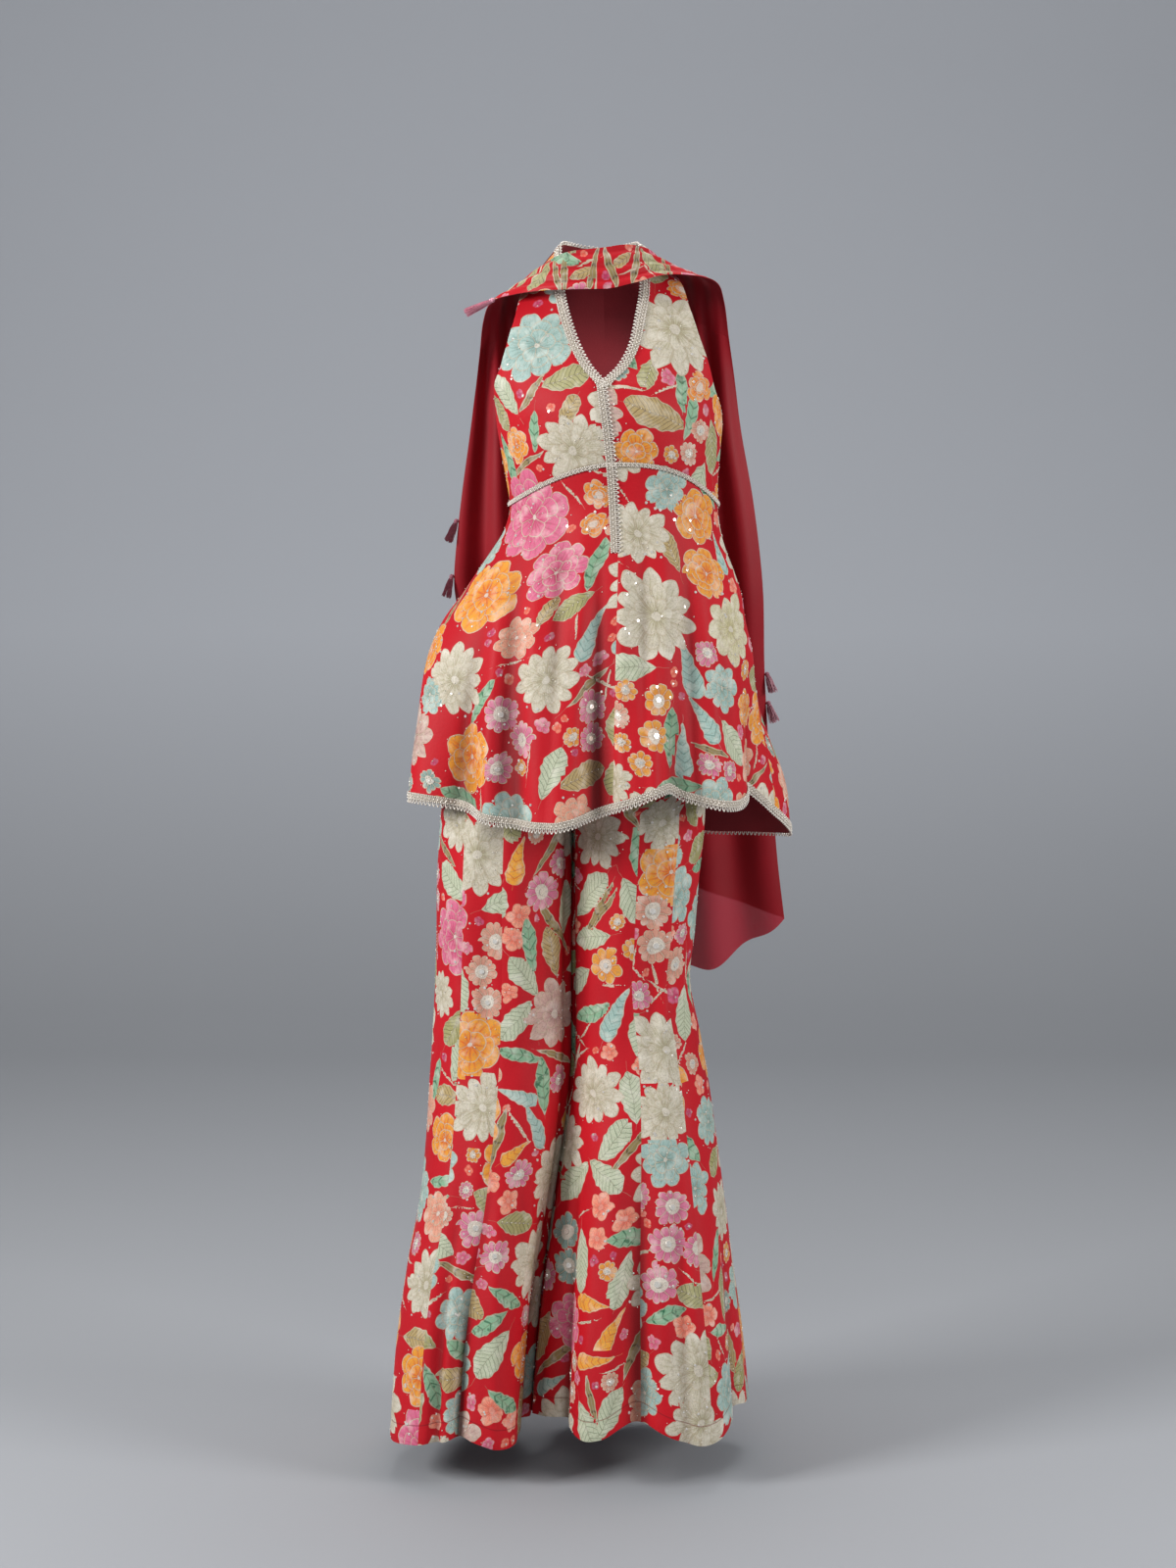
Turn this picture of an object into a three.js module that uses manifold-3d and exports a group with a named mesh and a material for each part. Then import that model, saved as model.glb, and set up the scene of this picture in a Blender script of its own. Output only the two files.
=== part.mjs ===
// A sharara suit as it is worn: a flared halter kurti, wide panelled trousers and a dupatta round the neck.
// Millimetres, +Z up. The origin is the centre of the neck opening. The front faces -Y and +X is the
// viewer's right. Right and left in the names are the wearer's, so right pieces lie on the -X side.
import * as THREE from "three";
import { mergeVertices } from "three/addons/utils/BufferGeometryUtils.js";
import Module from "manifold-3d";

const CLOTH = 1.6; // wall of the embroidered kurti and sharara
const CHIFFON = 1.2; // wall of the dupatta
const LACE = 1.2; // thickness of the silver lace
const SEAM = 0.3; // space between two pieces at a seam
const UNDER_LACE = 0.5; // space between the cloth and the lace on it
const BODY_Y = -5; // middle of the torso, front to back
const RISE_Z = -690; // height of the crotch
const KURTI_SEAM_Z = -260; // highest point of the seam under the bust
const KURTI_SEAM_DROP = 48; // how far that seam falls from the front centre to the sides
const ARCH_RIGHT = 1.6; // how flat the arch of that seam starts on the wearer's right
const ARCH_LEFT = 3; // and on the wearer's left
const WAIST_TOP_Z = -428; // top of the sharara waistband
const WAISTBAND = 35; // height of the waistband
const LEG_HEM_Z = -1478; // hem of the sharara
const LACE_WIDE = 9; // lace along the neckline, down the front centre and along the hem
const LACE_NARROW = 6; // lace along the seam under the bust

const DEG = Math.PI / 180;
const RIGHT = -1;
const LEFT = 1;
const FRONT = -1;
const BACK = 1;
const SIDES = [
  [RIGHT, "right"],
  [LEFT, "left"],
];
const FACES = [
  [FRONT, "front"],
  [BACK, "back"],
];

const cottonRed = new THREE.MeshStandardMaterial({ color: 0xb8101f, roughness: 0.7, metalness: 0 });
const chiffonRed = new THREE.MeshStandardMaterial({ color: 0xb5122a, roughness: 0.55, metalness: 0 });
const silverLace = new THREE.MeshStandardMaterial({ color: 0xb9ac9c, roughness: 0.45, metalness: 0.35 });
const tasselSilk = new THREE.MeshStandardMaterial({ color: 0xd98aa0, roughness: 0.6, metalness: 0 });

// Turns lines of numbers into rows with named columns.
function rows(names, ...lines) {
  return lines.map((line) => Object.fromEntries(names.map((name, i) => [name, line[i]])));
}
const mix = (a, b, t) => a + (b - a) * t;
const steps = (count) => Array.from({ length: count + 1 }, (_, i) => i / count);
const ease = (t) => {
  const c = Math.min(Math.max(t, 0), 1);
  return c * c * (3 - 2 * c);
};

// The slope of a curve where a stretch of slope a meets one of slope b: level at a peak, and never so
// steep that the curve overshoots.
function steady(a, b) {
  if (a * b <= 0) return 0;
  return Math.sign(a) * Math.min(Math.abs(a + b) / 2, 3 * Math.abs(a), 3 * Math.abs(b));
}

// The curve between values b and c, a share t of the way, with the slopes that its neighbours give it.
function between(a, b, c, d, t) {
  const start = steady(b - a, c - b);
  const finish = steady(c - b, d - c);
  const fromStart = b * (1 + 2 * t) * (1 - t) ** 2 + start * t * (1 - t) ** 2;
  return fromStart + c * t * t * (3 - 2 * t) - finish * t * t * (1 - t);
}

// A smooth curve through one column of a table, read where the column `by` has the value x.
function along(table, by, name) {
  const xs = table.map((row) => row[by]);
  const ys = table.map((row) => row[name]);
  const last = xs.length - 1;
  const rising = xs[last] > xs[0] ? 1 : -1;
  return (x) => {
    if ((x - xs[0]) * rising <= 0) return ys[0];
    if ((x - xs[last]) * rising >= 0) return ys[last];
    let i = 0;
    while ((x - xs[i + 1]) * rising > 0) i += 1;
    const step = xs[i + 1] - xs[i];
    const t = (x - xs[i]) / step;
    const slope = (k) => (ys[k + 1] - ys[k]) / (xs[k + 1] - xs[k]);
    const start = i === 0 ? slope(0) : steady(slope(i - 1), slope(i));
    const finish = i + 1 === last ? slope(i) : steady(slope(i), slope(i + 1));
    return (
      ys[i] * (1 + 2 * t) * (1 - t) ** 2 +
      start * step * t * (1 - t) ** 2 +
      ys[i + 1] * t * t * (3 - 2 * t) -
      finish * step * t * t * (1 - t)
    );
  };
}

function columns(table, by, names) {
  return Object.fromEntries(names.map((name) => [name, along(table, by, name)]));
}

// How far the folds of a table push the cloth out at an angle and a height. A fold starts at `from`
// and is full at the hem.
function folds(table, angle, z, hem) {
  return table.reduce((sum, fold) => {
    const turn = ((angle - fold.at + 540) % 360) - 180;
    const grown = ease((fold.from - z) / (fold.from - hem));
    return sum + fold.deep * Math.exp(-((turn / fold.wide) ** 2)) * grown;
  }, 0);
}

// The net of a piece: for each v a line of nodes along us, each with its point and the direction out of
// the cloth.
function net(us, vs, surface, outside) {
  const point = (u, v) => new THREE.Vector3(...surface(u, v));
  const uSpan = (us[us.length - 1] - us[0]) * 0.002;
  const vSpan = (vs[vs.length - 1] - vs[0]) * 0.002;
  const normal = (u, v) => {
    const across = point(u + uSpan, v).sub(point(u - uSpan, v));
    const down = point(u, v + vSpan).sub(point(u, v - vSpan));
    return across.cross(down).normalize();
  };
  const middle = normal(us[Math.floor(us.length / 2)], vs[Math.floor(vs.length / 2)]);
  const facing = Math.sign(middle.dot(new THREE.Vector3(...outside)));
  const node = (u, v) => ({ at: point(u, v), out: normal(u, v).multiplyScalar(facing) });
  const lines = vs.map((v) => us.map((u) => node(u, v)));
  lines.facing = facing;
  return lines;
}

function blend(a, b, t) {
  return { at: a.at.clone().lerp(b.at, t), out: a.out.clone().lerp(b.out, t).normalize() };
}

// Two pieces that meet at a bent seam share the direction out of the cloth there.
function shareOut(a, b) {
  const out = a.out.clone().add(b.out).normalize();
  a.out = out;
  b.out = out.clone();
}

// A closed wall: a net's points lifted, the same points moved in by the thickness, and the rims between.
function wall(name, lines, material, { thick = CLOTH, lift = 0, closed = false } = {}) {
  const wide = closed ? lines[0].length - 1 : lines[0].length;
  const positions = [];
  for (const depth of [lift, lift - thick]) {
    for (const line of lines) {
      for (const node of line.slice(0, wide)) {
        const at = node.at.clone().addScaledVector(node.out, depth);
        positions.push(at.x, at.y, at.z);
      }
    }
  }
  const layer = wide * lines.length;
  const id = (i, j, inner) => inner * layer + j * wide + (i % wide);
  const faces = [];
  const quad = (a, b, c, d) => {
    if (lines.facing > 0) faces.push(a, b, c, a, c, d);
    else faces.push(a, c, b, a, d, c);
  };
  const cells = closed ? wide : wide - 1;
  const end = lines.length - 1;
  for (let i = 0; i < cells; i += 1) {
    for (let j = 0; j < end; j += 1) {
      quad(id(i, j, 0), id(i + 1, j, 0), id(i + 1, j + 1, 0), id(i, j + 1, 0));
      quad(id(i, j, 1), id(i, j + 1, 1), id(i + 1, j + 1, 1), id(i + 1, j, 1));
    }
    quad(id(i, 0, 1), id(i + 1, 0, 1), id(i + 1, 0, 0), id(i, 0, 0));
    quad(id(i, end, 0), id(i + 1, end, 0), id(i + 1, end, 1), id(i, end, 1));
  }
  if (!closed) {
    const side = wide - 1;
    for (let j = 0; j < end; j += 1) {
      quad(id(0, j, 0), id(0, j + 1, 0), id(0, j + 1, 1), id(0, j, 1));
      quad(id(side, j, 1), id(side, j + 1, 1), id(side, j + 1, 0), id(side, j, 0));
    }
  }
  const geometry = new THREE.BufferGeometry();
  geometry.setAttribute("position", new THREE.Float32BufferAttribute(positions, 3));
  geometry.setIndex(faces);
  const mesh = new THREE.Mesh(geometry, material);
  mesh.name = name;
  return mesh;
}

// Kurti: the torso and the skirt are one set of sections, round the middle at cx.
const KURTI = rows(
  ["z", "cx", "half", "front", "back"],
  [-140, 8, 139, 108, 96],
  [-166, 10, 141, 117, 98],
  [-200, 14, 142, 124, 98],
  [-240, 16, 138, 118, 93],
  [-280, 18, 133, 107, 88],
  [-310, 20, 131, 103, 86],
  [-342, 18, 137, 107, 90],
  [-364, 14, 147, 113, 96],
  [-392, 10, 162, 121, 105],
  [-424, 4, 178, 130, 116],
  [-451, -4, 190, 137, 124],
  [-495, -9, 205, 145, 134],
  [-541, -12, 212, 151, 144],
  [-592, -12, 216, 157, 155],
  [-651, -11, 220, 162, 167],
  [-700, -10, 222, 166, 177],
  [-740, -9, 224, 170, 184],
);
const CENTRE_SEAM = rows(
  ["z", "x"],
  [-140, 6],
  [-166, 7],
  [-220, 14],
  [-267, 19],
  [-315, 22],
  [-363, 24],
  [-500, 21],
  [-700, 18],
);
// Folds of the skirt: degrees from the front centre, how wide and deep they are at the hem, and the
// height where they start.
const SKIRT_FOLDS = rows(
  ["at", "wide", "deep", "from"],
  [-68, 11, 20, -450],
  [-47, 9, -20, -430],
  [-32, 7, 8, -470],
  [-24, 5, -13, -440],
  [-12, 8, 17, -380],
  [3, 8, -19, -370],
  [19, 7, 15, -400],
  [29, 5, -15, -430],
  [48, 12, 17, -420],
  [74, 9, -16, -450],
  [108, 17, 46, -520],
  [136, 10, -16, -480],
  [156, 9, 16, -450],
  [180, 10, -17, -430],
  [-160, 10, 17, -450],
  [-138, 10, -18, -450],
  [-115, 11, 16, -470],
  [-92, 9, -14, -480],
);
const SKIRT_HEM = rows(
  ["at", "z"],
  [-180, -712],
  [-150, -702],
  [-120, -690],
  [-90, -676],
  [-68, -674],
  [-50, -682],
  [-30, -697],
  [-12, -702],
  [0, -690],
  [12, -674],
  [26, -656],
  [33, -668],
  [50, -680],
  [72, -664],
  [90, -700],
  [108, -732],
  [130, -734],
  [156, -722],
  [180, -712],
);
const SKIRT_FULL_Z = -690; // height where the folds of the skirt are full
// Degrees at the hem where the points of each quarter lie: its ridges, its valleys and between them.
const SKIRT_CUTS = {
  [RIGHT]: {
    [FRONT]: [7.2, 3, -5, -12, -18, -24, -28, -33, -40, -47, -57, -68, -79, -90],
    [BACK]: [-180, -170, -160, -149, -138, -126, -115, -103, -90],
  },
  [LEFT]: {
    [FRONT]: [7.2, 13, 19, 24, 29, 37, 48, 60, 74, 82, 90],
    [BACK]: [180, 168, 156, 146, 136, 122, 108, 98, 90],
  },
};
const SKIRT_ROWS = 8;
const kurti = columns(KURTI, "z", ["cx", "half", "front", "back"]);
const centreSeamX = along(CENTRE_SEAM, "z", "x");
const skirtHem = along(SKIRT_HEM, "at", "z");

// A point on the kurti at an angle from the front centre, in degrees to the wearer's left, and a height.
function kurtiPoint(angle, z) {
  const s = Math.sin(angle * DEG);
  const c = Math.cos(angle * DEG);
  const deep = c > 0 ? kurti.front(z) : kurti.back(z);
  const half = kurti.half(z);
  const out = folds(SKIRT_FOLDS, angle, z, SKIRT_FULL_Z) / Math.hypot(s / half, c / deep);
  return [kurti.cx(z) + half * s + (out * s) / half, BODY_Y - deep * c - (out * c) / deep, z];
}

// The angle on the kurti, a share u of the way from the front or back centre to the side, clear of both
// seams.
function kurtiAngle(side, face, u, z) {
  const frontCentre = Math.asin((centreSeamX(z) - kurti.cx(z)) / kurti.half(z)) / DEG;
  const centre = face === FRONT ? frontCentre : side * 180;
  const inset = (Math.sign(side * 90 - centre) * SEAM) / 2 / kurti.half(z) / DEG;
  return mix(centre + inset, side * 90 - inset, u);
}

// The seam under the bust: an arch in front, flatter on the wearer's left, and level behind.
function seamZ(angle) {
  if (Math.abs(angle) > 90) return KURTI_SEAM_Z - KURTI_SEAM_DROP;
  const power = angle < 0 ? ARCH_RIGHT : ARCH_LEFT;
  return KURTI_SEAM_Z - KURTI_SEAM_DROP * Math.abs(Math.sin(angle * DEG)) ** power;
}

// The yoke above the underarm: the neck edge and the armhole edge of each row, measured from neckAt, how
// round the row is between them, and how much lower the wearer's right shoulder is.
const YOKE_COLUMNS = ["neckAt", "neckX", "neckY", "neckZ", "armX", "armY", "armZ", "round", "tilt"];
const YOKE = {
  [FRONT]: rows(
    YOKE_COLUMNS,
    [3, 51, 10, 14, 101, 12, -38, 0.15, 8],
    [4, 52, -14, -12, 104, -12, -48, 0.2, 8],
    [5, 50, -42, -47, 109, -34, -70, 0.25, 7],
    [6, 43, -70, -82, 118, -50, -100, 0.4, 5],
    [8, 33, -90, -116, 129, -51, -134, 0.6, 2],
    [8, 19, -104, -142, 138, -38, -166, 0.85, 0],
  ),
  [BACK]: rows(
    YOKE_COLUMNS,
    [3, 51, 10 + SEAM, 14, 101, 12 + SEAM, -38, 0.15, 8],
    [4, 45, 42, 19, 103, 34, -48, 0.2, 8],
    [5, 26, 63, 17, 107, 52, -66, 0.25, 7],
    [6, SEAM / 2, 72, 11, 112, 62, -92, 0.4, 5],
    [8, SEAM / 2, 84, -56, 124, 60, -134, 0.6, 2],
    [9, SEAM / 2, 91, -112, 136, 40, -168, 0.85, 0],
  ),
};
const YOKE_ROWS = 6;
const TORSO_ROWS = 5;
const BODICE_ROWS = YOKE_ROWS + TORSO_ROWS - 1;
const TORSO_TOP = { [FRONT]: -166, [BACK]: -150, side: -192 };

// A point of one row of the bodice, u from the neck edge or centre seam to the armhole edge or side seam.
function bodiceRow(side, face, row, u) {
  if (row < YOKE_ROWS) {
    const r = YOKE[face][row];
    const neck = [r.neckX, r.neckY, r.neckZ];
    const arm = [r.armX, r.armY, r.armZ];
    const corner = [r.neckX, r.armY, (r.neckZ + r.armZ) / 2];
    const turn = u * 90 * DEG;
    const [x, y, z] = neck.map((value, k) => {
      const middle = mix((value + arm[k]) / 2, corner[k], r.round);
      return middle + (value - middle) * Math.cos(turn) + (arm[k] - middle) * Math.sin(turn);
    });
    return [r.neckAt + side * x, y, z + side * r.tilt * Math.sin(turn)];
  }
  const turn = u * 90 * DEG;
  const top = mix(TORSO_TOP[face], TORSO_TOP.side, Math.sin(turn) ** 2);
  const bottom = seamZ(kurtiAngle(side, face, u, KURTI_SEAM_Z)) + SEAM;
  const z = mix(top, bottom, (row - YOKE_ROWS) / (TORSO_ROWS - 1));
  return kurtiPoint(kurtiAngle(side, face, u, z), z);
}

// The bodice: smooth curves down through the rows of the yoke, and the torso's own sections below.
function bodice(side, face) {
  return (u, v) => {
    const place = v * BODICE_ROWS;
    if (place >= YOKE_ROWS) return bodiceRow(side, face, place, u);
    const i = Math.max(Math.floor(place), 0);
    const [a, b, c, d] = [i - 1, i, i + 1, i + 2].map((row) => bodiceRow(side, face, Math.max(row, 0), u));
    return b.map((value, k) => between(a[k], value, c[k], d[k], place - i));
  };
}

// One quarter of the skirt, u from the front or back centre to the side, v from the seam under the bust
// to the hem.
function skirt(side, face) {
  return (u, v) => {
    const angle = kurtiAngle(side, face, u, mix(KURTI_SEAM_Z, SKIRT_FULL_Z, v));
    const z = mix(seamZ(angle) - SEAM, skirtHem(angle), v);
    return kurtiPoint(kurtiAngle(side, face, u, z), z);
  };
}

const SHOULDER_SLOPE = 33 * DEG; // how far the shoulder seams fall away from level
const nets = {};
for (const [side, sideName] of SIDES) {
  for (const [face, faceName] of FACES) {
    const cuts = SKIRT_CUTS[side][face];
    const us = cuts.map((angle) => (angle - cuts[0]) / (cuts[cuts.length - 1] - cuts[0]));
    const outside = [side * 0.7, face, 0];
    nets[`bodice_${faceName}_${sideName}`] = net(us, steps(BODICE_ROWS), bodice(side, face), outside);
    nets[`skirt_${faceName}_${sideName}`] = net(us, steps(SKIRT_ROWS), skirt(side, face), outside);
  }
  const [front, back] = [nets[`bodice_front_${sideName}`], nets[`bodice_back_${sideName}`]];
  const outside = new THREE.Vector3(side * Math.sin(SHOULDER_SLOPE), 0, Math.cos(SHOULDER_SLOPE));
  for (const node of [...front[0], ...back[0]]) node.out = outside.clone();
  for (let row = YOKE_ROWS; row <= BODICE_ROWS; row += 1) shareOut(front[row].at(-1), back[row].at(-1));
}
const NECKLINE_ROWS = { [FRONT]: 6, [BACK]: 3 }; // rows of the bodice that the neckline crosses
for (const [face, faceName] of FACES) {
  const [right, left] = [nets[`bodice_${faceName}_right`], nets[`bodice_${faceName}_left`]];
  for (let row = NECKLINE_ROWS[face]; row <= BODICE_ROWS; row += 1) shareOut(right[row][0], left[row][0]);
}
const kurtiMeshes = Object.entries(nets).map(([name, lines]) => wall(name, lines, cottonRed));

// Lace lies on the cloth: its nodes are the cloth's own, or lie between them, and its back is just over
// the surface.
const overCloth = { thick: LACE, lift: LACE + UNDER_LACE };
const withFacing = (lines, facing) => Object.assign(lines, { facing });
// The node at a distance from the first towards the second.
const reach = (from, to, distance) => blend(from, to, distance / from.at.distanceTo(to.at));
// The node at a distance along a line of nodes.
function walk(line, distance) {
  let i = 0;
  let left = distance;
  while (i < line.length - 2 && left > line[i].at.distanceTo(line[i + 1].at)) {
    left -= line[i].at.distanceTo(line[i + 1].at);
    i += 1;
  }
  return reach(line[i], line[i + 1], left);
}
const laceMeshes = [];
for (const [side, sideName] of SIDES) {
  for (const [face, faceName] of FACES) {
    const cloth = nets[`bodice_${faceName}_${sideName}`];
    const neckline = cloth.slice(0, NECKLINE_ROWS[face] + 1);
    const lines = neckline.map((line) => [line[0], walk(line, LACE_WIDE / 2), walk(line, LACE_WIDE)]);
    const name = face === FRONT ? `lace_neck_${sideName}` : `lace_nape_${sideName}`;
    laceMeshes.push(wall(name, withFacing(lines, cloth.facing), silverLace, overCloth));
  }
  const [top, hem] = [0, 1].map((which) =>
    FACES.map(([, faceName]) => {
      const above = nets[`${which ? "skirt" : "bodice"}_${faceName}_${sideName}`];
      const below = nets[`skirt_${faceName}_${sideName}`];
      return which
        ? above.at(-1).map((node, i) => [reach(node, above.at(-2)[i], LACE_WIDE), node])
        : above.at(-1).map((node, i) => [
            reach(node, above.at(-2)[i], LACE_NARROW / 2),
            reach(below[0][i], below[1][i], LACE_NARROW / 2),
          ]);
    }),
  );
  for (const [name, [front, back]] of [
    [`lace_waist_${sideName}`, top],
    [`lace_hem_${sideName}`, hem],
  ]) {
    const start = name === "lace_waist_right" ? LACE_WIDE + 1 : SEAM;
    const first = front[0].map((node, k) => reach(node, front[1][k], start));
    const last = back[0].map((node, k) => reach(node, back[1][k], SEAM));
    const around = [first, ...front.slice(1), ...back.slice(1, -1).reverse(), last];
    const lines = [0, 1].map((k) => around.map((pair) => pair[k]));
    const strip = withFacing(lines, nets[`skirt_front_${sideName}`].facing);
    laceMeshes.push(wall(name, strip, silverLace, overCloth));
  }
}
const PLACKET_SKIRT_ROWS = 2;
const placketLines = [
  ...nets.bodice_front_right.slice(YOKE_ROWS, -1),
  ...nets.skirt_front_right.slice(0, PLACKET_SKIRT_ROWS + 1),
].map((line) => [line[0], reach(line[0], line[1], LACE_WIDE)]);
placketLines[0] = placketLines[0].map((node, k) => reach(node, placketLines[1][k], LACE_WIDE + SEAM));
const placketStrip = withFacing(placketLines, nets.skirt_front_right.facing);
laceMeshes.push(wall("lace_placket", placketStrip, silverLace, overCloth));

// Sharara above the crotch: its side seams, its centre seam, its depth, and how far round each leg's
// section turns.
const HIPS = rows(
  ["z", "right", "left", "centre", "front", "back", "turn"],
  [-428, -112, 120, 4, 88, 84, 90],
  [-480, -138, 130, -4, 99, 98, 90],
  [-540, -163, 135, -14, 108, 110, 92],
  [-590, -180, 138, -21, 112, 118, 99],
  [-630, -190, 138, -26, 113, 121, 112],
  [-665, -196, 138, -30, 110, 118, 136],
  [RISE_Z, -199, 137, -33, 106, 112, 180],
);
// The legs: the side seam and the depth. Their inseams follow one line, on which they all but touch.
const LEG_COLUMNS = ["z", "side", "front", "back"];
const RIGHT_LEG = rows(
  LEG_COLUMNS,
  [RISE_Z, -199, 106, 112],
  [-715, -201, 103, 108],
  [-785, -205, 98, 100],
  [-851, -206, 94, 96],
  [-916, -208, 90, 94],
  [-985, -212, 90, 96],
  [-1045, -216, 96, 104],
  [-1110, -220, 106, 114],
  [-1197, -229, 120, 128],
  [-1276, -244, 132, 138],
  [-1363, -255, 142, 147],
  [LEG_HEM_Z, -262, 152, 154],
);
const LEFT_LEG = rows(
  LEG_COLUMNS,
  [RISE_Z, 137, 106, 112],
  [-715, 136, 103, 108],
  [-785, 129, 97, 98],
  [-851, 124, 91, 92],
  [-905, 118, 88, 88],
  [-984, 132, 92, 92],
  [-1041, 142, 99, 99],
  [-1110, 152, 110, 109],
  [-1192, 163, 122, 120],
  [-1298, 176, 136, 131],
  [-1363, 184, 144, 138],
  [LEG_HEM_Z, 194, 154, 146],
);
const INSEAM = rows(
  ["z", "x", "apart"],
  [RISE_Z, -33, SEAM],
  [-715, -33, 1.6],
  [-985, -33, 1.6],
  [-1045, -36, 1.6],
  [-1110, -44, 1.6],
  [-1197, -57, 1.6],
  [-1290, -70, 1.6],
  [-1363, -78, 1.6],
  [LEG_HEM_Z, -87, 1.6],
);
const WAVY_Z = -1300; // below this the hem's own waviness shows
const SEAM_SHARE = 0.125; // how much of a section's depth the space at the side seam and inseam fades over
// Folds of each leg: degrees from its side seam round the front, or behind if negative.
const RIGHT_LEG_FOLDS = rows(
  ["at", "wide", "deep", "from"],
  [32, 16, 14, -1050],
  [66, 8, -14, -1000],
  [92, 10, -18, -960],
  [128, 15, 15, -1000],
  [158, 7, -12, -1100],
  [-20, 10, -12, -1080],
  [-48, 13, 14, -1050],
  [-78, 10, -16, -1000],
  [-104, 11, 14, -1040],
  [-134, 10, -15, -1060],
);
const LEFT_LEG_FOLDS = rows(
  ["at", "wide", "deep", "from"],
  [20, 10, -13, -1080],
  [58, 18, 14, -960],
  [93, 9, -22, -940],
  [116, 10, 17, -1000],
  [142, 9, -22, -1000],
  [-18, 11, 10, -1080],
  [-44, 10, -15, -1040],
  [-72, 12, 15, -1020],
  [-102, 10, -16, -1000],
  [-130, 12, 14, -1050],
  [-156, 8, -11, -1100],
);
const RIGHT_LEG_HEM = rows(
  ["at", "z"],
  [-180, -1480],
  [-134, -1472],
  [-104, -1486],
  [-78, -1474],
  [-48, -1488],
  [-20, -1478],
  [0, -1486],
  [32, -1490],
  [66, -1478],
  [92, -1471],
  [128, -1486],
  [158, -1476],
  [180, -1480],
);
const LEFT_LEG_HEM = rows(
  ["at", "z"],
  [-180, -1476],
  [-130, -1482],
  [-102, -1470],
  [-72, -1480],
  [-44, -1466],
  [-18, -1474],
  [0, -1466],
  [20, -1458],
  [58, -1479],
  [93, -1451],
  [116, -1470],
  [142, -1463],
  [180, -1476],
);
const hips = columns(HIPS, "z", ["right", "left", "centre", "front", "back", "turn"]);
const inseam = columns(INSEAM, "z", ["x", "apart"]);
const legSizes = (table, hem, foldTable) => ({
  ...columns(table, "z", ["side", "front", "back"]),
  hem: along(hem, "at", "z"),
  folds: foldTable,
});
const LEGS = {
  [RIGHT]: legSizes(RIGHT_LEG, RIGHT_LEG_HEM, RIGHT_LEG_FOLDS),
  [LEFT]: legSizes(LEFT_LEG, LEFT_LEG_HEM, LEFT_LEG_FOLDS),
};

// The section of one side of the sharara at a level: its side, its centre or inseam, depth and turn.
function shararaSection(side, face, level) {
  const above = level > RISE_Z;
  const sizes = above ? hips : LEGS[side];
  return {
    turn: above ? hips.turn(level) : 180,
    sideX: above ? (side === RIGHT ? hips.right(level) : hips.left(level)) : sizes.side(level),
    insideX: (above ? hips.centre(level) : inseam.x(level)) + (side * inseam.apart(level)) / 2,
    deep: face === FRONT ? sizes.front(level) : sizes.back(level),
  };
}

// A point of the sharara: share runs from the side seam (0) round one face to the centre seam or the
// inseam (1). Above the crotch the section turns less than half round, and its end follows the rise.
function shararaPoint(side, face, share, level) {
  const { turn, sideX, insideX, deep } = shararaSection(side, face, level);
  const angle = share * turn;
  const sagging = ease((WAVY_Z - level) / (WAVY_Z - LEG_HEM_Z));
  const z = level + (LEGS[side].hem(-face * angle) - LEG_HEM_Z) * sagging;
  const half = (sideX - insideX) / (1 - Math.cos(turn * DEG));
  const s = Math.sin(angle * DEG);
  const c = Math.cos(angle * DEG);
  const out = folds(LEGS[side].folds, -face * angle, level, LEG_HEM_Z) / Math.hypot(c / half, s / deep);
  const seam = (SEAM / 2) * Math.max(0, 1 - s / SEAM_SHARE);
  return [sideX - half + half * c + (out * c) / half, face * (deep * s + seam + (out * s) / deep), z];
}

// Each face of a leg is three panels, cut between these shares of the way from the side to the centre.
const PANELS = rows(
  ["name", "from", "to", "across"],
  ["outer", 0, 0.3, 4],
  ["middle", 0.3, 0.5, 3],
  ["inner", 0.5, 1, 7],
);
const LEG_GIRTH = 260; // about half of a leg's way round
const LEG_LEVELS = [
  WAIST_TOP_Z - WAISTBAND - SEAM,
  -540,
  -620,
  -668,
  RISE_Z,
  -780,
  -905,
  -1010,
  -1110,
  -1210,
  -1310,
  -1400,
  LEG_HEM_Z,
];
const shararaMeshes = [];
for (const [side, sideName] of SIDES) {
  for (const [face, faceName] of FACES) {
    for (const panel of PANELS) {
      const gap = SEAM / 2 / LEG_GIRTH;
      const from = panel.from === 0 ? 0 : panel.from + gap;
      const to = panel.to === 1 ? 1 : panel.to - gap;
      const surface = (u, level) => shararaPoint(side, face, mix(from, to, u), level);
      const outside = [panel.name === "outer" ? side : 0, face, 0];
      const name = `${sideName}_leg_${faceName}_${panel.name}`;
      shararaMeshes.push(wall(name, net(steps(panel.across), LEG_LEVELS, surface, outside), cottonRed));
    }
  }
}

function waistbandPoint(u, z) {
  const turn = u * 360 * DEG;
  const half = (hips.left(z) - hips.right(z)) / 2;
  const deep = Math.cos(turn) > 0 ? hips.front(z) : hips.back(z);
  return [hips.right(z) + half + half * Math.sin(turn), -deep * Math.cos(turn), z];
}
const waistband = net(steps(28), [WAIST_TOP_Z, WAIST_TOP_Z - WAISTBAND], waistbandPoint, [0, BACK, 0]);
shararaMeshes.push(wall("sharara_waistband", waistband, cottonRed, { closed: true }));

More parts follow.
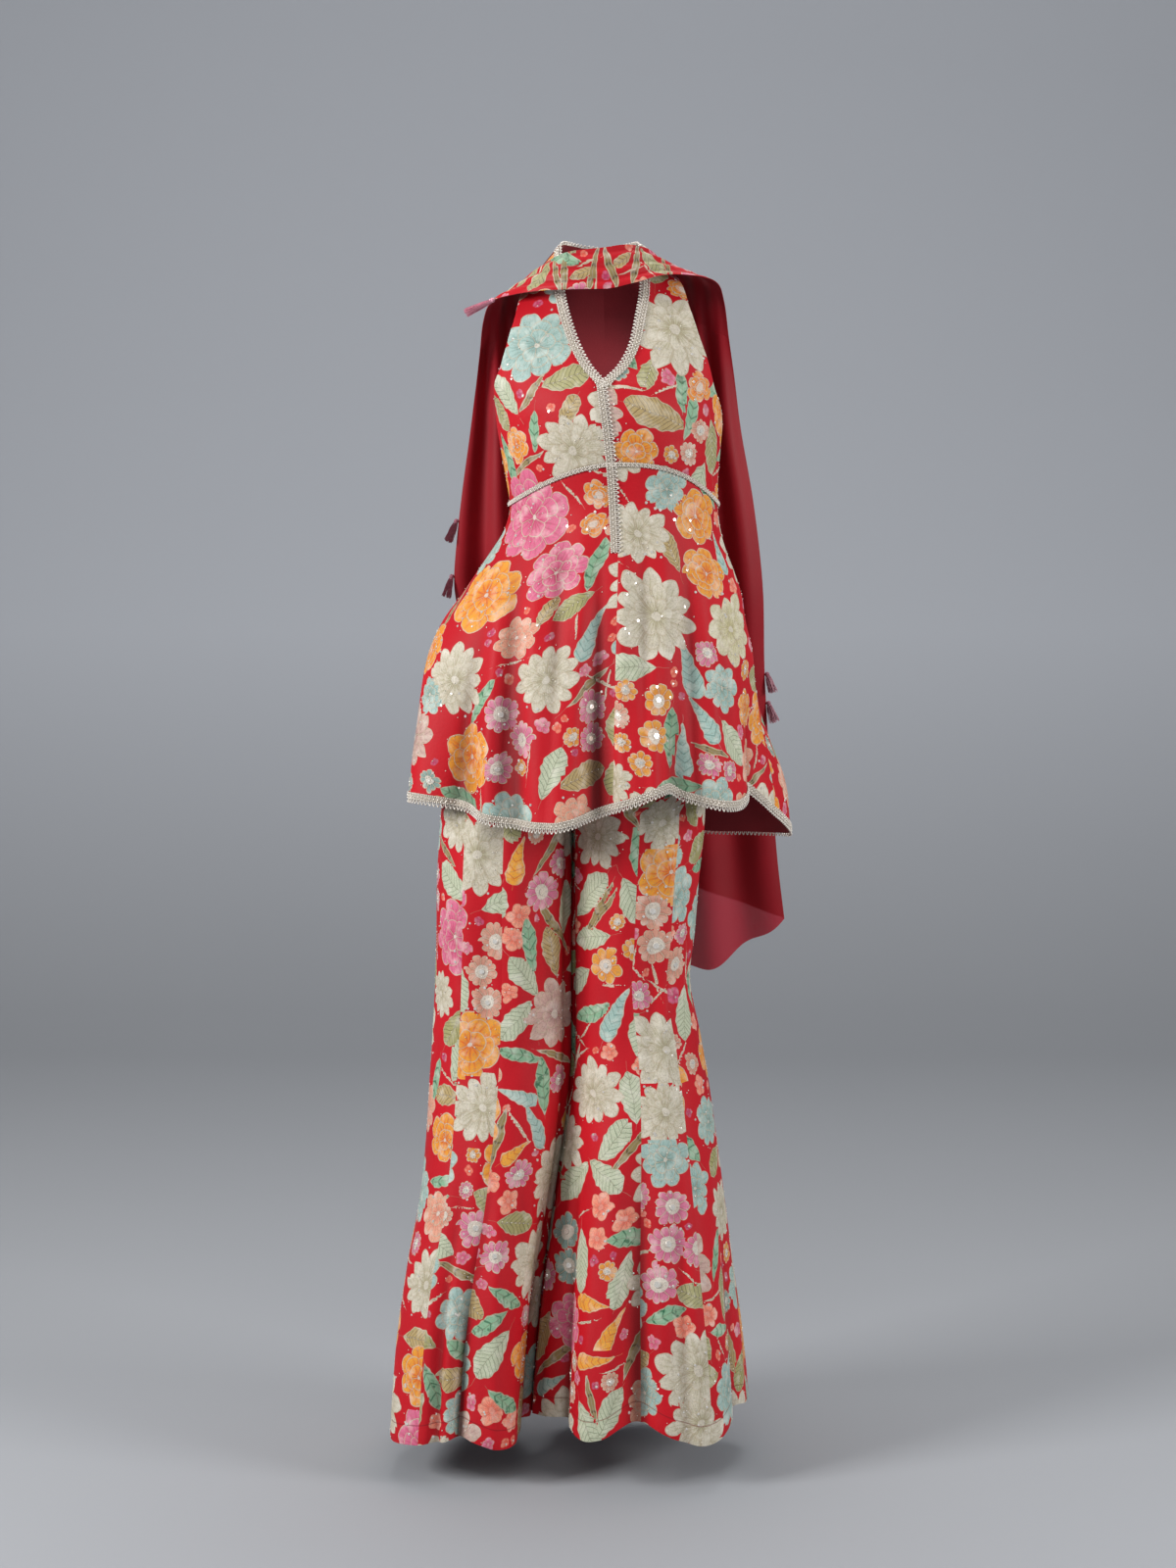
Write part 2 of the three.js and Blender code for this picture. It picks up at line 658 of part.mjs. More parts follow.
// Dupatta: stations from the end behind the right shoulder, round the front of the neck, to the end
// behind the left. Each has a point of its outer edge, the lower one in front, and of its inner edge, the
// upper one in front, how deep its gathers are, and how far its end sags.
const DUPATTA = rows(
  ["at", "outX", "outY", "outZ", "inX", "inY", "inZ", "deep", "sag"],
  [0, -184, 140, -438, -22, 174, -600, 6, 0],
  [1, -187, 130, -405, -30, 150, -500, 7, 0],
  [2, -183, 123, -352, -38, 128, -400, 7, 0],
  [3, -175, 117, -285, -50, 116, -300, 7, 0],
  [4, -165, 111, -215, -64, 109, -200, 6, 0],
  [5, -158, 103, -160, -76, 101, -120, 4.5, 0],
  [6, -152, 82, -114, -82, 84, -62, 3, 0],
  [7, -146, 46, -75, -84, 58, -29.8, 2.2, 0],
  [8, -134, 4, -54, -80, 24, -18.8, 1.8, 0],
  [9, -105, -36, -48, -68, -14, -9, 1.6, 0],
  [10, -70, -62, -46, -54, -48, -4, 1.6, 0],
  [11, -35, -76, -46, -34, -65, 1, 1.6, 0],
  [12, 5, -81, -46, 5, -69, 5, 1.6, 0],
  [13, 45, -76, -38, 36, -65, 9, 1.6, 0],
  [14, 80, -62, -28, 60, -48, 6, 1.6, 0],
  [15, 116, -38, -26, 74, -14, -1, 1.6, 0],
  [16, 148, 0, -31, 86, 24, -8.6, 1.8, 0],
  [17, 160, 42, -52, 90, 58, -21.6, 2.2, 0],
  [18, 168, 80, -95, 88, 84, -54, 3, 0],
  [19, 176, 103, -142, 80, 102, -112, 4.5, 0],
  [20, 186, 113, -215, 66, 110, -200, 6, 0],
  [21, 203, 118, -310, 52, 114, -310, 7, 0],
  [22, 216, 128, -417, 40, 130, -425, 8, 0],
  [23, 220, 151, -520, 30, 157, -530, 8, 0],
  [24, 226, 173, -605, 22, 181, -620, 8, 0],
  [25, 234, 191, -695, 14, 199, -715, 9, 10],
  [26, 242, 201, -780, 10, 208, -800, 9, 30],
  [27, 252, 203, -859, 8, 211, -880, 8, 62],
);
const FRONT_STATION = 12; // the station at the front of the neck
const GATHERS = 3; // waves across the dupatta
const GATHER_SHIFT = 0.25; // how far the waves move sideways from station to station
const NECK_REACH = 3.2; // stations from the front where the waves turn from the front to the back
const LEAN = 0.2; // how far the waves over the shoulders lean outwards
const LEAN_GROWS = 2; // stations from the front over which that lean grows
const LEAN_FADES = { from: 5, over: 3 }; // and where it fades again
const RISE = { front: 0.1, ends: 0.9 }; // how much the waves rise as well
const shawl = columns(DUPATTA, "at", ["outX", "outY", "outZ", "inX", "inY", "inZ", "deep", "sag"]);

// A point of the dupatta: share runs from the outer edge (0) to the inner edge (1).
function dupattaPoint(share, station) {
  const away = station - FRONT_STATION;
  const wave = shawl.deep(station) * Math.sin(GATHERS * 2 * Math.PI * share + away * GATHER_SHIFT);
  const front = Math.exp(-((away / NECK_REACH) ** 2));
  const far = Math.abs(away);
  const faded = ease((far - LEAN_FADES.from) / LEAN_FADES.over);
  const lean = Math.sign(away) * LEAN * ease(far / LEAN_GROWS) * (1 - faded);
  const rise = mix(RISE.front, RISE.ends, far / FRONT_STATION);
  const push = new THREE.Vector3(lean, mix(1, -1, front), rise).normalize();
  const at = ["X", "Y", "Z"].map((k) => mix(shawl[`out${k}`](station), shawl[`in${k}`](station), share));
  const sag = shawl.sag(station) * Math.sin(Math.PI * share);
  return [at[0] + push.x * wave, at[1] + push.y * wave, at[2] + push.z * wave - sag];
}

const DUPATTA_PIECES = rows(
  ["name", "from", "to", "down", "facing"],
  ["dupatta_fall_right", 0, 6, 7, 1],
  ["dupatta_neck", 6, 18, 14, -1],
  ["dupatta_fall_left", 18, 27, 11, 1],
);
const STATION_GAP = 0.008; // half the space between two stretches, as a share of a station
const dupattaMeshes = DUPATTA_PIECES.map((piece) => {
  const stations = steps(piece.down).map((t) => mix(piece.from + STATION_GAP, piece.to - STATION_GAP, t));
  const lines = net(steps(GATHERS * 4), stations, dupattaPoint, [0, piece.facing, 0]);
  return wall(piece.name, lines, chiffonRed, { thick: CHIFFON });
});

// Tassels: a knot at the dupatta's edge with strands that fan out from it.
const wasm = await Module();
wasm.setup();
const TASSELS = rows(
  ["name", "station", "out", "down", "long"],
  ["tassel_shoulder", 8.2, 0.9, 0.42, 44],
  ["tassel_right_upper", 2.45, 0.42, 1, 33],
  ["tassel_right_lower", 1.2, 0.3, 1, 32],
  ["tassel_left_upper", 23.1, 0.34, 1, 30],
  ["tassel_left_lower", 23.55, 0.34, 1, 31],
);
const KNOT = { top: 2.2, radius: 3.2, long: 7, sides: 8 };
const STRAND = { root: 0.55, tip: 0.4, sides: 3, buried: 1.5, shorter: 1.6 };
const STRAND_RINGS = rows(["count", "root", "tip"], [7, 2.3, 5.2], [3, 0.9, 2.2]);

function solidOf(geometry) {
  geometry.deleteAttribute("normal");
  geometry.deleteAttribute("uv");
  const merged = mergeVertices(geometry, 1e-4);
  const mesh = new wasm.Mesh({
    numProp: 3,
    vertProperties: new Float32Array(merged.attributes.position.array),
    triVerts: new Uint32Array(merged.index.array),
  });
  return new wasm.Manifold(mesh);
}

// A straight rod from one point to another, with its own radius at each end.
function rod(start, finish, rootRadius, tipRadius, sides) {
  const line = finish.clone().sub(start);
  const geometry = new THREE.CylinderGeometry(tipRadius, rootRadius, line.length(), sides);
  const up = new THREE.Vector3(0, 1, 0);
  geometry.applyQuaternion(new THREE.Quaternion().setFromUnitVectors(up, line.clone().normalize()));
  const middle = start.clone().add(finish).multiplyScalar(0.5);
  geometry.translate(middle.x, middle.y, middle.z);
  return geometry;
}

const tasselMeshes = TASSELS.map((tassel) => {
  const side = Math.sign(tassel.station - FRONT_STATION);
  const edge = new THREE.Vector3(...dupattaPoint(0, tassel.station));
  const axis = new THREE.Vector3(side * tassel.out, 0, -tassel.down).normalize();
  const aside = tassel.out > tassel.down ? 0 : KNOT.top + SEAM * 2;
  const top = edge.clone().add(new THREE.Vector3(side * aside, 0, 0)).addScaledVector(axis, SEAM);
  const neck = top.clone().addScaledVector(axis, KNOT.long);
  const cross = new THREE.Vector3(0, 1, 0);
  const other = axis.clone().cross(cross).normalize();
  let solid = solidOf(rod(top, neck, KNOT.top, KNOT.radius, KNOT.sides));
  for (const ring of STRAND_RINGS) {
    for (let i = 0; i < ring.count; i += 1) {
      const turn = ((i + 0.5) / ring.count) * 2 * Math.PI;
      const spoke = cross.clone().multiplyScalar(Math.cos(turn)).addScaledVector(other, Math.sin(turn));
      const root = neck.clone().addScaledVector(axis, -STRAND.buried).addScaledVector(spoke, ring.root);
      const reachDown = tassel.long - (i % 3) * STRAND.shorter;
      const tip = top.clone().addScaledVector(axis, reachDown).addScaledVector(spoke, ring.tip);
      solid = solid.add(solidOf(rod(root, tip, STRAND.root, STRAND.tip, STRAND.sides)));
    }
  }
  const made = solid.getMesh();
  const geometry = new THREE.BufferGeometry();
  geometry.setAttribute("position", new THREE.Float32BufferAttribute(made.vertProperties, 3));
  geometry.setIndex(Array.from(made.triVerts));
  const mesh = new THREE.Mesh(geometry, tasselSilk);
  mesh.name = tassel.name;
  return mesh;
});

const suit = new THREE.Group();
suit.add(...kurtiMeshes, ...laceMeshes, ...shararaMeshes, ...dupattaMeshes, ...tasselMeshes);

export default suit;
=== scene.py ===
"""A sharara suit as it is worn: a flared halter kurti with silver lace, wide panelled trousers and a dupatta.

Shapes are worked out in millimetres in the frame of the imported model: the origin is the centre of the neck
opening, the front faces -Y and +X is the viewer's right. Right and left in the names are the wearer's.
"""
import math
import random

import bmesh
import bpy
import numpy as np
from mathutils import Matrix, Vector
from mathutils.kdtree import KDTree


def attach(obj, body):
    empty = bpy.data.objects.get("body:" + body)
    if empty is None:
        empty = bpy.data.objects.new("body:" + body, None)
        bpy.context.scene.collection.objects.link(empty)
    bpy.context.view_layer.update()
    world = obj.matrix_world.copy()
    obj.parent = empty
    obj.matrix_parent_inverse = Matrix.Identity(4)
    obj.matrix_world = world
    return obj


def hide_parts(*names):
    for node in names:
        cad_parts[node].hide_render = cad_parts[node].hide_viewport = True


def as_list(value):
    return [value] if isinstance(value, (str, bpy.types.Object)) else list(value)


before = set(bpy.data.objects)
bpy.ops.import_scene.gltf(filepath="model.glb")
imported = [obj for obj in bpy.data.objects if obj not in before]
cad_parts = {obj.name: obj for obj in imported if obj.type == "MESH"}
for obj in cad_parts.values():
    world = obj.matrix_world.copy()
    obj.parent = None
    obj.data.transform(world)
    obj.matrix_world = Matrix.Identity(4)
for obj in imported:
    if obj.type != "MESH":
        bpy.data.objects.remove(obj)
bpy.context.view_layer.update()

MM = 0.001
TURN = 2 * math.pi
RIGHT, LEFT = -1, 1
FRONT, BACK = -1, 1
SIDES = {RIGHT: "right", LEFT: "left"}
FACES = {FRONT: "front", BACK: "back"}
CLOTH = 1.6  # wall of the embroidered kurti and sharara
CHIFFON = 1.2  # wall of the dupatta
CELL = 5.0  # side of a cell of the fine cloth


# The camera

CAMERA_AT = (-0.0124, -3.6, -0.333)
CAMERA_TILT = 5.22  # degrees down from level
LENS = 65.25


def add_camera():
    """The camera at the photograph's viewing angle."""
    camera = bpy.data.objects.new("camera", bpy.data.cameras.new("camera"))
    camera.data.lens = LENS
    camera.data.sensor_width = 36
    camera.location = CAMERA_AT
    camera.rotation_euler = (math.radians(90 - CAMERA_TILT), 0, 0)
    bpy.context.scene.collection.objects.link(camera)
    bpy.context.scene.camera = camera


add_camera()
bpy.context.scene.view_settings.view_transform = "Standard"


# Curves through tables


def table(names, *lines):
    """Lines of numbers as named columns."""
    return dict(zip(names.split(), np.array(lines, float).T))


def mix(a, b, t):
    """The value a share t of the way from a to b."""
    return a + (b - a) * t


def ease(t):
    """0 up to 0, 1 from 1 on, and a smooth rise between."""
    t = np.clip(t, 0, 1)
    return t * t * (3 - 2 * t)


def steady(a, b):
    """The slope where two stretches of a curve meet: level at a peak and never steep enough to overshoot."""
    slope = np.minimum(np.minimum(abs(a + b) / 2, 3 * abs(a)), 3 * abs(b))
    return np.where(a * b <= 0, 0, np.sign(a) * slope)


def bridge(start, start_slope, finish, finish_slope, t):
    """A curve from one value to another, a share t of the way, with a given slope at each end."""
    rest = 1 - t
    leaving = start * (1 + 2 * t) * rest**2 + start_slope * t * rest**2
    return leaving + finish * t * t * (3 - 2 * t) - finish_slope * t * t * rest


def between(a, b, c, d, t):
    """The curve between b and c, a share t of the way, with the slopes that a and d give it."""
    return bridge(b, steady(b - a, c - b), c, steady(c - b, d - c), t)


def curve(rows, by, name):
    """A smooth curve through one column of a table, read by another column."""
    x, y = rows[by], rows[name]
    if x[0] > x[-1]:
        x, y = x[::-1], y[::-1]
    slope = np.diff(y) / np.diff(x)
    bend = np.concatenate([slope[:1], steady(slope[:-1], slope[1:]), slope[-1:]])

    def read(at):
        at = np.clip(at, x[0], x[-1])
        i = np.clip(np.searchsorted(x, at, side="right") - 1, 0, len(x) - 2)
        step = x[i + 1] - x[i]
        return bridge(y[i], bend[i] * step, y[i + 1], bend[i + 1] * step, (at - x[i]) / step)

    return read


def curves(rows, by, names):
    """Smooth curves through several columns of a table, by name."""
    return {name: curve(rows, by, name) for name in names.split()}


def folds(rows, angle, z, hem):
    """How far the folds of a table push the cloth out at an angle and a height."""
    out = 0
    for at, wide, deep, start in zip(rows["at"], rows["wide"], rows["deep"], rows["from"]):
        turn = (angle - at + 180) % 360 - 180
        out = out + deep * np.exp(-((turn / wide) ** 2)) * ease((start - z) / (start - hem))
    return out


# The kurti

BODY_Y = -5  # the middle of the body, front to back
KURTI_SEAM_Z = -260  # the seam under the bust, at the top of its arch
KURTI_SEAM_DROP = 48  # how much lower it lies at the sides and behind
ARCH_RIGHT, ARCH_LEFT = 1.6, 3  # how flat the seam's arch stays near the centre, on each side
SKIRT_FULL_Z = -690  # where the skirt's folds are at their deepest
KURTI = table(
    "z cx half front back",
    [-140, 8, 139, 108, 96],
    [-166, 10, 141, 117, 98],
    [-200, 14, 142, 124, 98],
    [-240, 16, 138, 118, 93],
    [-280, 18, 133, 107, 88],
    [-310, 20, 131, 103, 86],
    [-342, 18, 137, 107, 90],
    [-364, 14, 147, 113, 96],
    [-392, 10, 162, 121, 105],
    [-424, 4, 178, 130, 116],
    [-451, -4, 190, 137, 124],
    [-495, -9, 205, 145, 134],
    [-541, -12, 212, 151, 144],
    [-592, -12, 216, 157, 155],
    [-651, -11, 220, 162, 167],
    [-700, -10, 222, 166, 177],
    [-740, -9, 224, 170, 184],
)
CENTRE_SEAM = table(
    "z x",
    [-140, 6],
    [-166, 7],
    [-220, 14],
    [-267, 19],
    [-315, 22],
    [-363, 24],
    [-500, 21],
    [-700, 18],
)
SKIRT_FOLDS = table(
    "at wide deep from",
    [-68, 11, 20, -450],
    [-47, 9, -20, -430],
    [-32, 7, 8, -470],
    [-24, 5, -13, -440],
    [-12, 8, 17, -380],
    [3, 8, -19, -370],
    [19, 7, 15, -400],
    [29, 5, -15, -430],
    [48, 12, 17, -420],
    [74, 9, -16, -450],
    [108, 17, 46, -520],
    [136, 10, -16, -480],
    [156, 9, 16, -450],
    [180, 10, -17, -430],
    [-160, 10, 17, -450],
    [-138, 10, -18, -450],
    [-115, 11, 16, -470],
    [-92, 9, -14, -480],
)
SKIRT_HEM = table(
    "at z",
    [-180, -712],
    [-150, -702],
    [-120, -690],
    [-90, -676],
    [-68, -674],
    [-50, -682],
    [-30, -697],
    [-12, -702],
    [0, -690],
    [12, -674],
    [26, -656],
    [33, -668],
    [50, -680],
    [72, -664],
    [90, -700],
    [108, -732],
    [130, -734],
    [156, -722],
    [180, -712],
)
kurti = curves(KURTI, "z", "cx half front back")
centre_seam_x = curve(CENTRE_SEAM, "z", "x")
skirt_hem = curve(SKIRT_HEM, "at", "z")


def kurti_point(angle, z):
    """A point on the kurti at an angle from the front centre, in degrees, and a height."""
    s, c = np.sin(np.radians(angle)), np.cos(np.radians(angle))
    deep = np.where(c > 0, kurti["front"](z), kurti["back"](z))
    half = kurti["half"](z)
    out = folds(SKIRT_FOLDS, angle, z, SKIRT_FULL_Z) / np.hypot(s / half, c / deep)
    x = kurti["cx"](z) + half * s + out * s / half
    y = BODY_Y - deep * c - out * c / deep
    return np.stack([x, y, z + 0 * s], -1)


def kurti_angle(side, face, u, z):
    """The angle a share u of the way from the front or back centre to the side."""
    centre = side * 180
    if face == FRONT:
        centre = np.degrees(np.arcsin((centre_seam_x(z) - kurti["cx"](z)) / kurti["half"](z)))
    return mix(centre, side * 90, u)


def seam_z(angle):
    """The seam under the bust: an arch in front, flatter on the wearer's left, and level behind."""
    power = np.where(angle < 0, ARCH_RIGHT, ARCH_LEFT)
    drop = np.where(abs(angle) > 90, 1, abs(np.sin(np.radians(angle))) ** power)
    return KURTI_SEAM_Z - KURTI_SEAM_DROP * drop


YOKE_COLUMNS = "neckAt neckX neckY neckZ armX armY armZ round tilt"
YOKE = {
    FRONT: table(
        YOKE_COLUMNS,
        [3, 51, 10, 14, 101, 12, -38, 0.15, 8],
        [4, 52, -14, -12, 104, -12, -48, 0.2, 8],
        [5, 50, -42, -47, 109, -34, -70, 0.25, 7],
        [6, 43, -70, -82, 118, -50, -100, 0.4, 5],
        [8, 33, -90, -116, 129, -51, -134, 0.6, 2],
        [8, 19, -104, -142, 138, -38, -166, 0.85, 0],
    ),
    BACK: table(
        YOKE_COLUMNS,
        [3, 51, 10, 14, 101, 12, -38, 0.15, 8],
        [4, 45, 42, 19, 103, 34, -48, 0.2, 8],
        [5, 26, 63, 17, 107, 52, -66, 0.25, 7],
        [6, 0, 72, 11, 112, 62, -92, 0.4, 5],
        [8, 0, 84, -56, 124, 60, -134, 0.6, 2],
        [9, 0, 91, -112, 136, 40, -168, 0.85, 0],
    ),
}
YOKE_ROWS, TORSO_ROWS = 6, 5  # rows of points down each part of the bodice
BODICE_ROWS = YOKE_ROWS + TORSO_ROWS - 1
TORSO_TOP = {FRONT: -166, BACK: -150}
TORSO_TOP_SIDE = -192  # the bottom of the armhole


def bodice_row(side, face, row, u):
    """One row of the bodice's points, u from the neck or the centre seam to the armhole or the side seam."""
    turn = u * math.pi / 2
    if row < YOKE_ROWS:
        r = {name: column[int(row)] for name, column in YOKE[face].items()}
        neck = (r["neckX"], r["neckY"], r["neckZ"])
        arm = (r["armX"], r["armY"], r["armZ"])
        corner = (r["neckX"], r["armY"], (r["neckZ"] + r["armZ"]) / 2)
        s, c = np.sin(turn), np.cos(turn)
        x, y, z = (
            mix((n + a) / 2, k, r["round"]) * (1 - c - s) + n * c + a * s
            for n, a, k in zip(neck, arm, corner)
        )
        return np.stack([r["neckAt"] + side * x, y, z + side * r["tilt"] * s], -1)
    top = mix(TORSO_TOP[face], TORSO_TOP_SIDE, np.sin(turn) ** 2)
    bottom = seam_z(kurti_angle(side, face, u, KURTI_SEAM_Z))
    z = mix(top, bottom, (row - YOKE_ROWS) / (TORSO_ROWS - 1))
    return kurti_point(kurti_angle(side, face, u, z), z)


def bodice(side, face):
    """The bodice: smooth curves down through the rows of the yoke, and the torso's own sections below."""

    def surface(u, v):
        place = v * BODICE_ROWS
        if place >= YOKE_ROWS:
            return bodice_row(side, face, place, u)
        i = int(place)
        near = [bodice_row(side, face, max(row, 0), u) for row in (i - 1, i, i + 1, i + 2)]
        return between(*near, place - i)

    return surface


def skirt(side, face):
    """One quarter of the skirt, u from the front or back centre to the side, v from the seam to the hem."""

    def surface(u, v):
        angle = kurti_angle(side, face, u, mix(KURTI_SEAM_Z, SKIRT_FULL_Z, v))
        z = mix(seam_z(angle), skirt_hem(angle), v)
        return kurti_point(kurti_angle(side, face, u, z), z)

    return surface


# The sharara

RISE_Z = -690  # where the legs part
WAIST_TOP_Z = -428
WAISTBAND = 35  # height of the band
LEG_HEM_Z = -1478
WAVY_Z = -1300  # below this the legs begin to follow the waves of their hems
HIPS = table(
    "z right left centre front back turn",
    [-428, -112, 120, 4, 88, 84, 90],
    [-480, -138, 130, -4, 99, 98, 90],
    [-540, -163, 135, -14, 108, 110, 92],
    [-590, -180, 138, -21, 112, 118, 99],
    [-630, -190, 138, -26, 113, 121, 112],
    [-665, -196, 138, -30, 110, 118, 136],
    [RISE_Z, -199, 137, -33, 106, 112, 180],
)
LEG_COLUMNS = "z side front back"
LEGS = {
    RIGHT: table(
        LEG_COLUMNS,
        [RISE_Z, -199, 106, 112],
        [-715, -201, 103, 108],
        [-785, -205, 98, 100],
        [-851, -206, 94, 96],
        [-916, -208, 90, 94],
        [-985, -212, 90, 96],
        [-1045, -216, 96, 104],
        [-1110, -220, 106, 114],
        [-1197, -229, 120, 128],
        [-1276, -244, 132, 138],
        [-1363, -255, 142, 147],
        [LEG_HEM_Z, -262, 152, 154],
    ),
    LEFT: table(
        LEG_COLUMNS,
        [RISE_Z, 137, 106, 112],
        [-715, 136, 103, 108],
        [-785, 129, 97, 98],
        [-851, 124, 91, 92],
        [-905, 118, 88, 88],
        [-984, 132, 92, 92],
        [-1041, 142, 99, 99],
        [-1110, 152, 110, 109],
        [-1192, 163, 122, 120],
        [-1298, 176, 136, 131],
        [-1363, 184, 144, 138],
        [LEG_HEM_Z, 194, 154, 146],
    ),
}
INSEAM = table(
    "z x",
    [RISE_Z, -33],
    [-715, -33],
    [-985, -33],
    [-1045, -36],
    [-1110, -44],
    [-1197, -57],
    [-1290, -70],
    [-1363, -78],
    [LEG_HEM_Z, -87],
)
LEGS_APART = 0.4  # space between the two legs along their inseams
PRESSED, PRESSED_WAVE, PRESSED_REACH = 2.5, 5, 15  # how the legs lie into each other there
LEG_FOLDS = {
    RIGHT: table(
        "at wide deep from",
        [32, 16, 14, -1050],
        [66, 8, -14, -1000],
        [92, 10, -18, -960],
        [128, 15, 15, -1000],
        [158, 7, -12, -1100],
        [-20, 10, -12, -1080],
        [-48, 13, 14, -1050],
        [-78, 10, -16, -1000],
        [-104, 11, 14, -1040],
        [-134, 10, -15, -1060],
    ),
    LEFT: table(
        "at wide deep from",
        [20, 10, -13, -1080],
        [58, 18, 14, -960],
        [93, 9, -22, -940],
        [116, 10, 17, -1000],
        [142, 9, -22, -1000],
        [-18, 11, 10, -1080],
        [-44, 10, -15, -1040],
        [-72, 12, 15, -1020],
        [-102, 10, -16, -1000],
        [-130, 12, 14, -1050],
        [-156, 8, -11, -1100],
    ),
}
LEG_HEMS = {
    RIGHT: table(
        "at z",
        [-180, -1480],
        [-134, -1472],
        [-104, -1486],
        [-78, -1474],
        [-48, -1488],
        [-20, -1478],
        [0, -1486],
        [32, -1490],
        [66, -1478],
        [92, -1471],
        [128, -1486],
        [158, -1476],
        [180, -1480],
    ),
    LEFT: table(
        "at z",
        [-180, -1476],
        [-130, -1482],
        [-102, -1470],
        [-72, -1480],
        [-44, -1466],
        [-18, -1474],
        [0, -1466],
        [20, -1458],
        [58, -1479],
        [93, -1451],
        [116, -1470],
        [142, -1463],
        [180, -1476],
    ),
}
hips = curves(HIPS, "z", "right left centre front back turn")
legs = {side: curves(rows, "z", "side front back") for side, rows in LEGS.items()}
inseam_x = curve(INSEAM, "z", "x")
leg_hems = {side: curve(rows, "at", "z") for side, rows in LEG_HEMS.items()}


def sharara_point(side, face, share, level):
    """A point of the sharara: share runs from the side seam round one face to the centre seam or inseam."""
    above = level > RISE_Z
    sizes = hips if above else legs[side]
    turn = hips["turn"](level) if above else 180
    side_x = (hips[SIDES[side]] if above else sizes["side"])(level)
    inside_x = hips["centre"](level) if above else inseam_x(level) + side * LEGS_APART / 2
    deep = sizes[FACES[face]](level)
    angle = share * turn
    sagging = ease((WAVY_Z - level) / (WAVY_Z - LEG_HEM_Z))
    z = level + (leg_hems[side](-face * angle) - LEG_HEM_Z) * sagging
    half = (side_x - inside_x) / (1 - math.cos(math.radians(turn)))
    s, c = np.sin(np.radians(angle)), np.cos(np.radians(angle))
    out = folds(LEG_FOLDS[side], -face * angle, level, LEG_HEM_Z) / np.hypot(c / half, s / deep)
    x, y = side_x - half + half * c + out * c / half, face * (deep * s + out * s / deep)
    if not above:
        x = x + PRESSED * np.sin(y / PRESSED_WAVE) * np.exp(-(((x - inside_x) / PRESSED_REACH) ** 2))
    return np.stack([x, y, z], -1)


PANELS = {"outer": (0, 0.3), "middle": (0.3, 0.5), "inner": (0.5, 1)}


def leg_panel(side, face, panel):
    """One panel of a leg: u across it, v from below the waistband to the hem."""
    first, last = PANELS[panel]
    top = WAIST_TOP_Z - WAISTBAND
    return lambda u, v: sharara_point(side, face, mix(first, last, u), mix(top, LEG_HEM_Z, v))


def waistband(u, v):
    """The waistband's ring: u once round it from the front, v from its top."""
    z = WAIST_TOP_Z - WAISTBAND * v
    turn = u * TURN
    half = (hips["left"](z) - hips["right"](z)) / 2
    deep = np.where(np.cos(turn) > 0, hips["front"](z), hips["back"](z))
    return np.stack([hips["right"](z) + half + half * np.sin(turn), -deep * np.cos(turn), z + 0 * u], -1)


# The dupatta

DUPATTA = table(
    "at outX outY outZ inX inY inZ deep sag",
    [0, -184, 140, -438, -22, 174, -600, 6, 0],
    [1, -187, 130, -405, -30, 150, -500, 7, 0],
    [2, -183, 123, -352, -38, 128, -400, 7, 0],
    [3, -175, 117, -285, -50, 116, -300, 7, 0],
    [4, -165, 111, -215, -64, 109, -200, 6, 0],
    [5, -158, 103, -160, -76, 101, -120, 4.5, 0],
    [6, -152, 82, -114, -82, 84, -62, 3, 0],
    [7, -146, 46, -75, -84, 58, -29.8, 2.2, 0],
    [8, -134, 4, -54, -80, 24, -18.8, 1.8, 0],
    [9, -105, -36, -48, -68, -14, -9, 1.6, 0],
    [10, -70, -62, -46, -54, -48, -4, 1.6, 0],
    [11, -35, -76, -46, -34, -65, 1, 1.6, 0],
    [12, 5, -81, -46, 5, -69, 5, 1.6, 0],
    [13, 45, -76, -38, 36, -65, 9, 1.6, 0],
    [14, 80, -62, -28, 60, -48, 6, 1.6, 0],
    [15, 116, -38, -26, 74, -14, -1, 1.6, 0],
    [16, 148, 0, -31, 86, 24, -8.6, 1.8, 0],
    [17, 160, 42, -52, 90, 58, -21.6, 2.2, 0],
    [18, 168, 80, -95, 88, 84, -54, 3, 0],
    [19, 176, 103, -142, 80, 102, -112, 4.5, 0],
    [20, 186, 113, -215, 66, 110, -200, 6, 0],
    [21, 203, 118, -310, 52, 114, -310, 7, 0],
    [22, 216, 128, -417, 40, 130, -425, 8, 0],
    [23, 220, 151, -520, 30, 157, -530, 8, 0],
    [24, 226, 173, -605, 22, 181, -620, 8, 0],
    [25, 234, 191, -695, 14, 199, -715, 9, 10],
    [26, 242, 201, -780, 10, 208, -800, 9, 30],
    [27, 252, 203, -859, 8, 211, -880, 8, 62],
)
FRONT_STATION = 12  # the middle of the neck; distances along the dupatta are counted in stations from it
GATHERS = 3  # gathers across the dupatta
GATHER_SHIFT = 0.25  # radians that they drift in one station
NECK_REACH = 3.2  # stations over which they turn from standing out in front to lying behind
LEAN = 0.2  # how far they lean sideways beside the neck
LEAN_GROWS = 2
LEAN_FADES_FROM, LEAN_FADES_OVER = 5, 3
RISE_FRONT, RISE_ENDS = 0.1, 0.9  # how far they stand up, in front and at the two ends
DUPATTA_PIECES = {"dupatta_fall_right": (0, 6), "dupatta_neck": (6, 18), "dupatta_fall_left": (18, 27)}
shawl = curves(DUPATTA, "at", "outX outY outZ inX inY inZ deep sag")


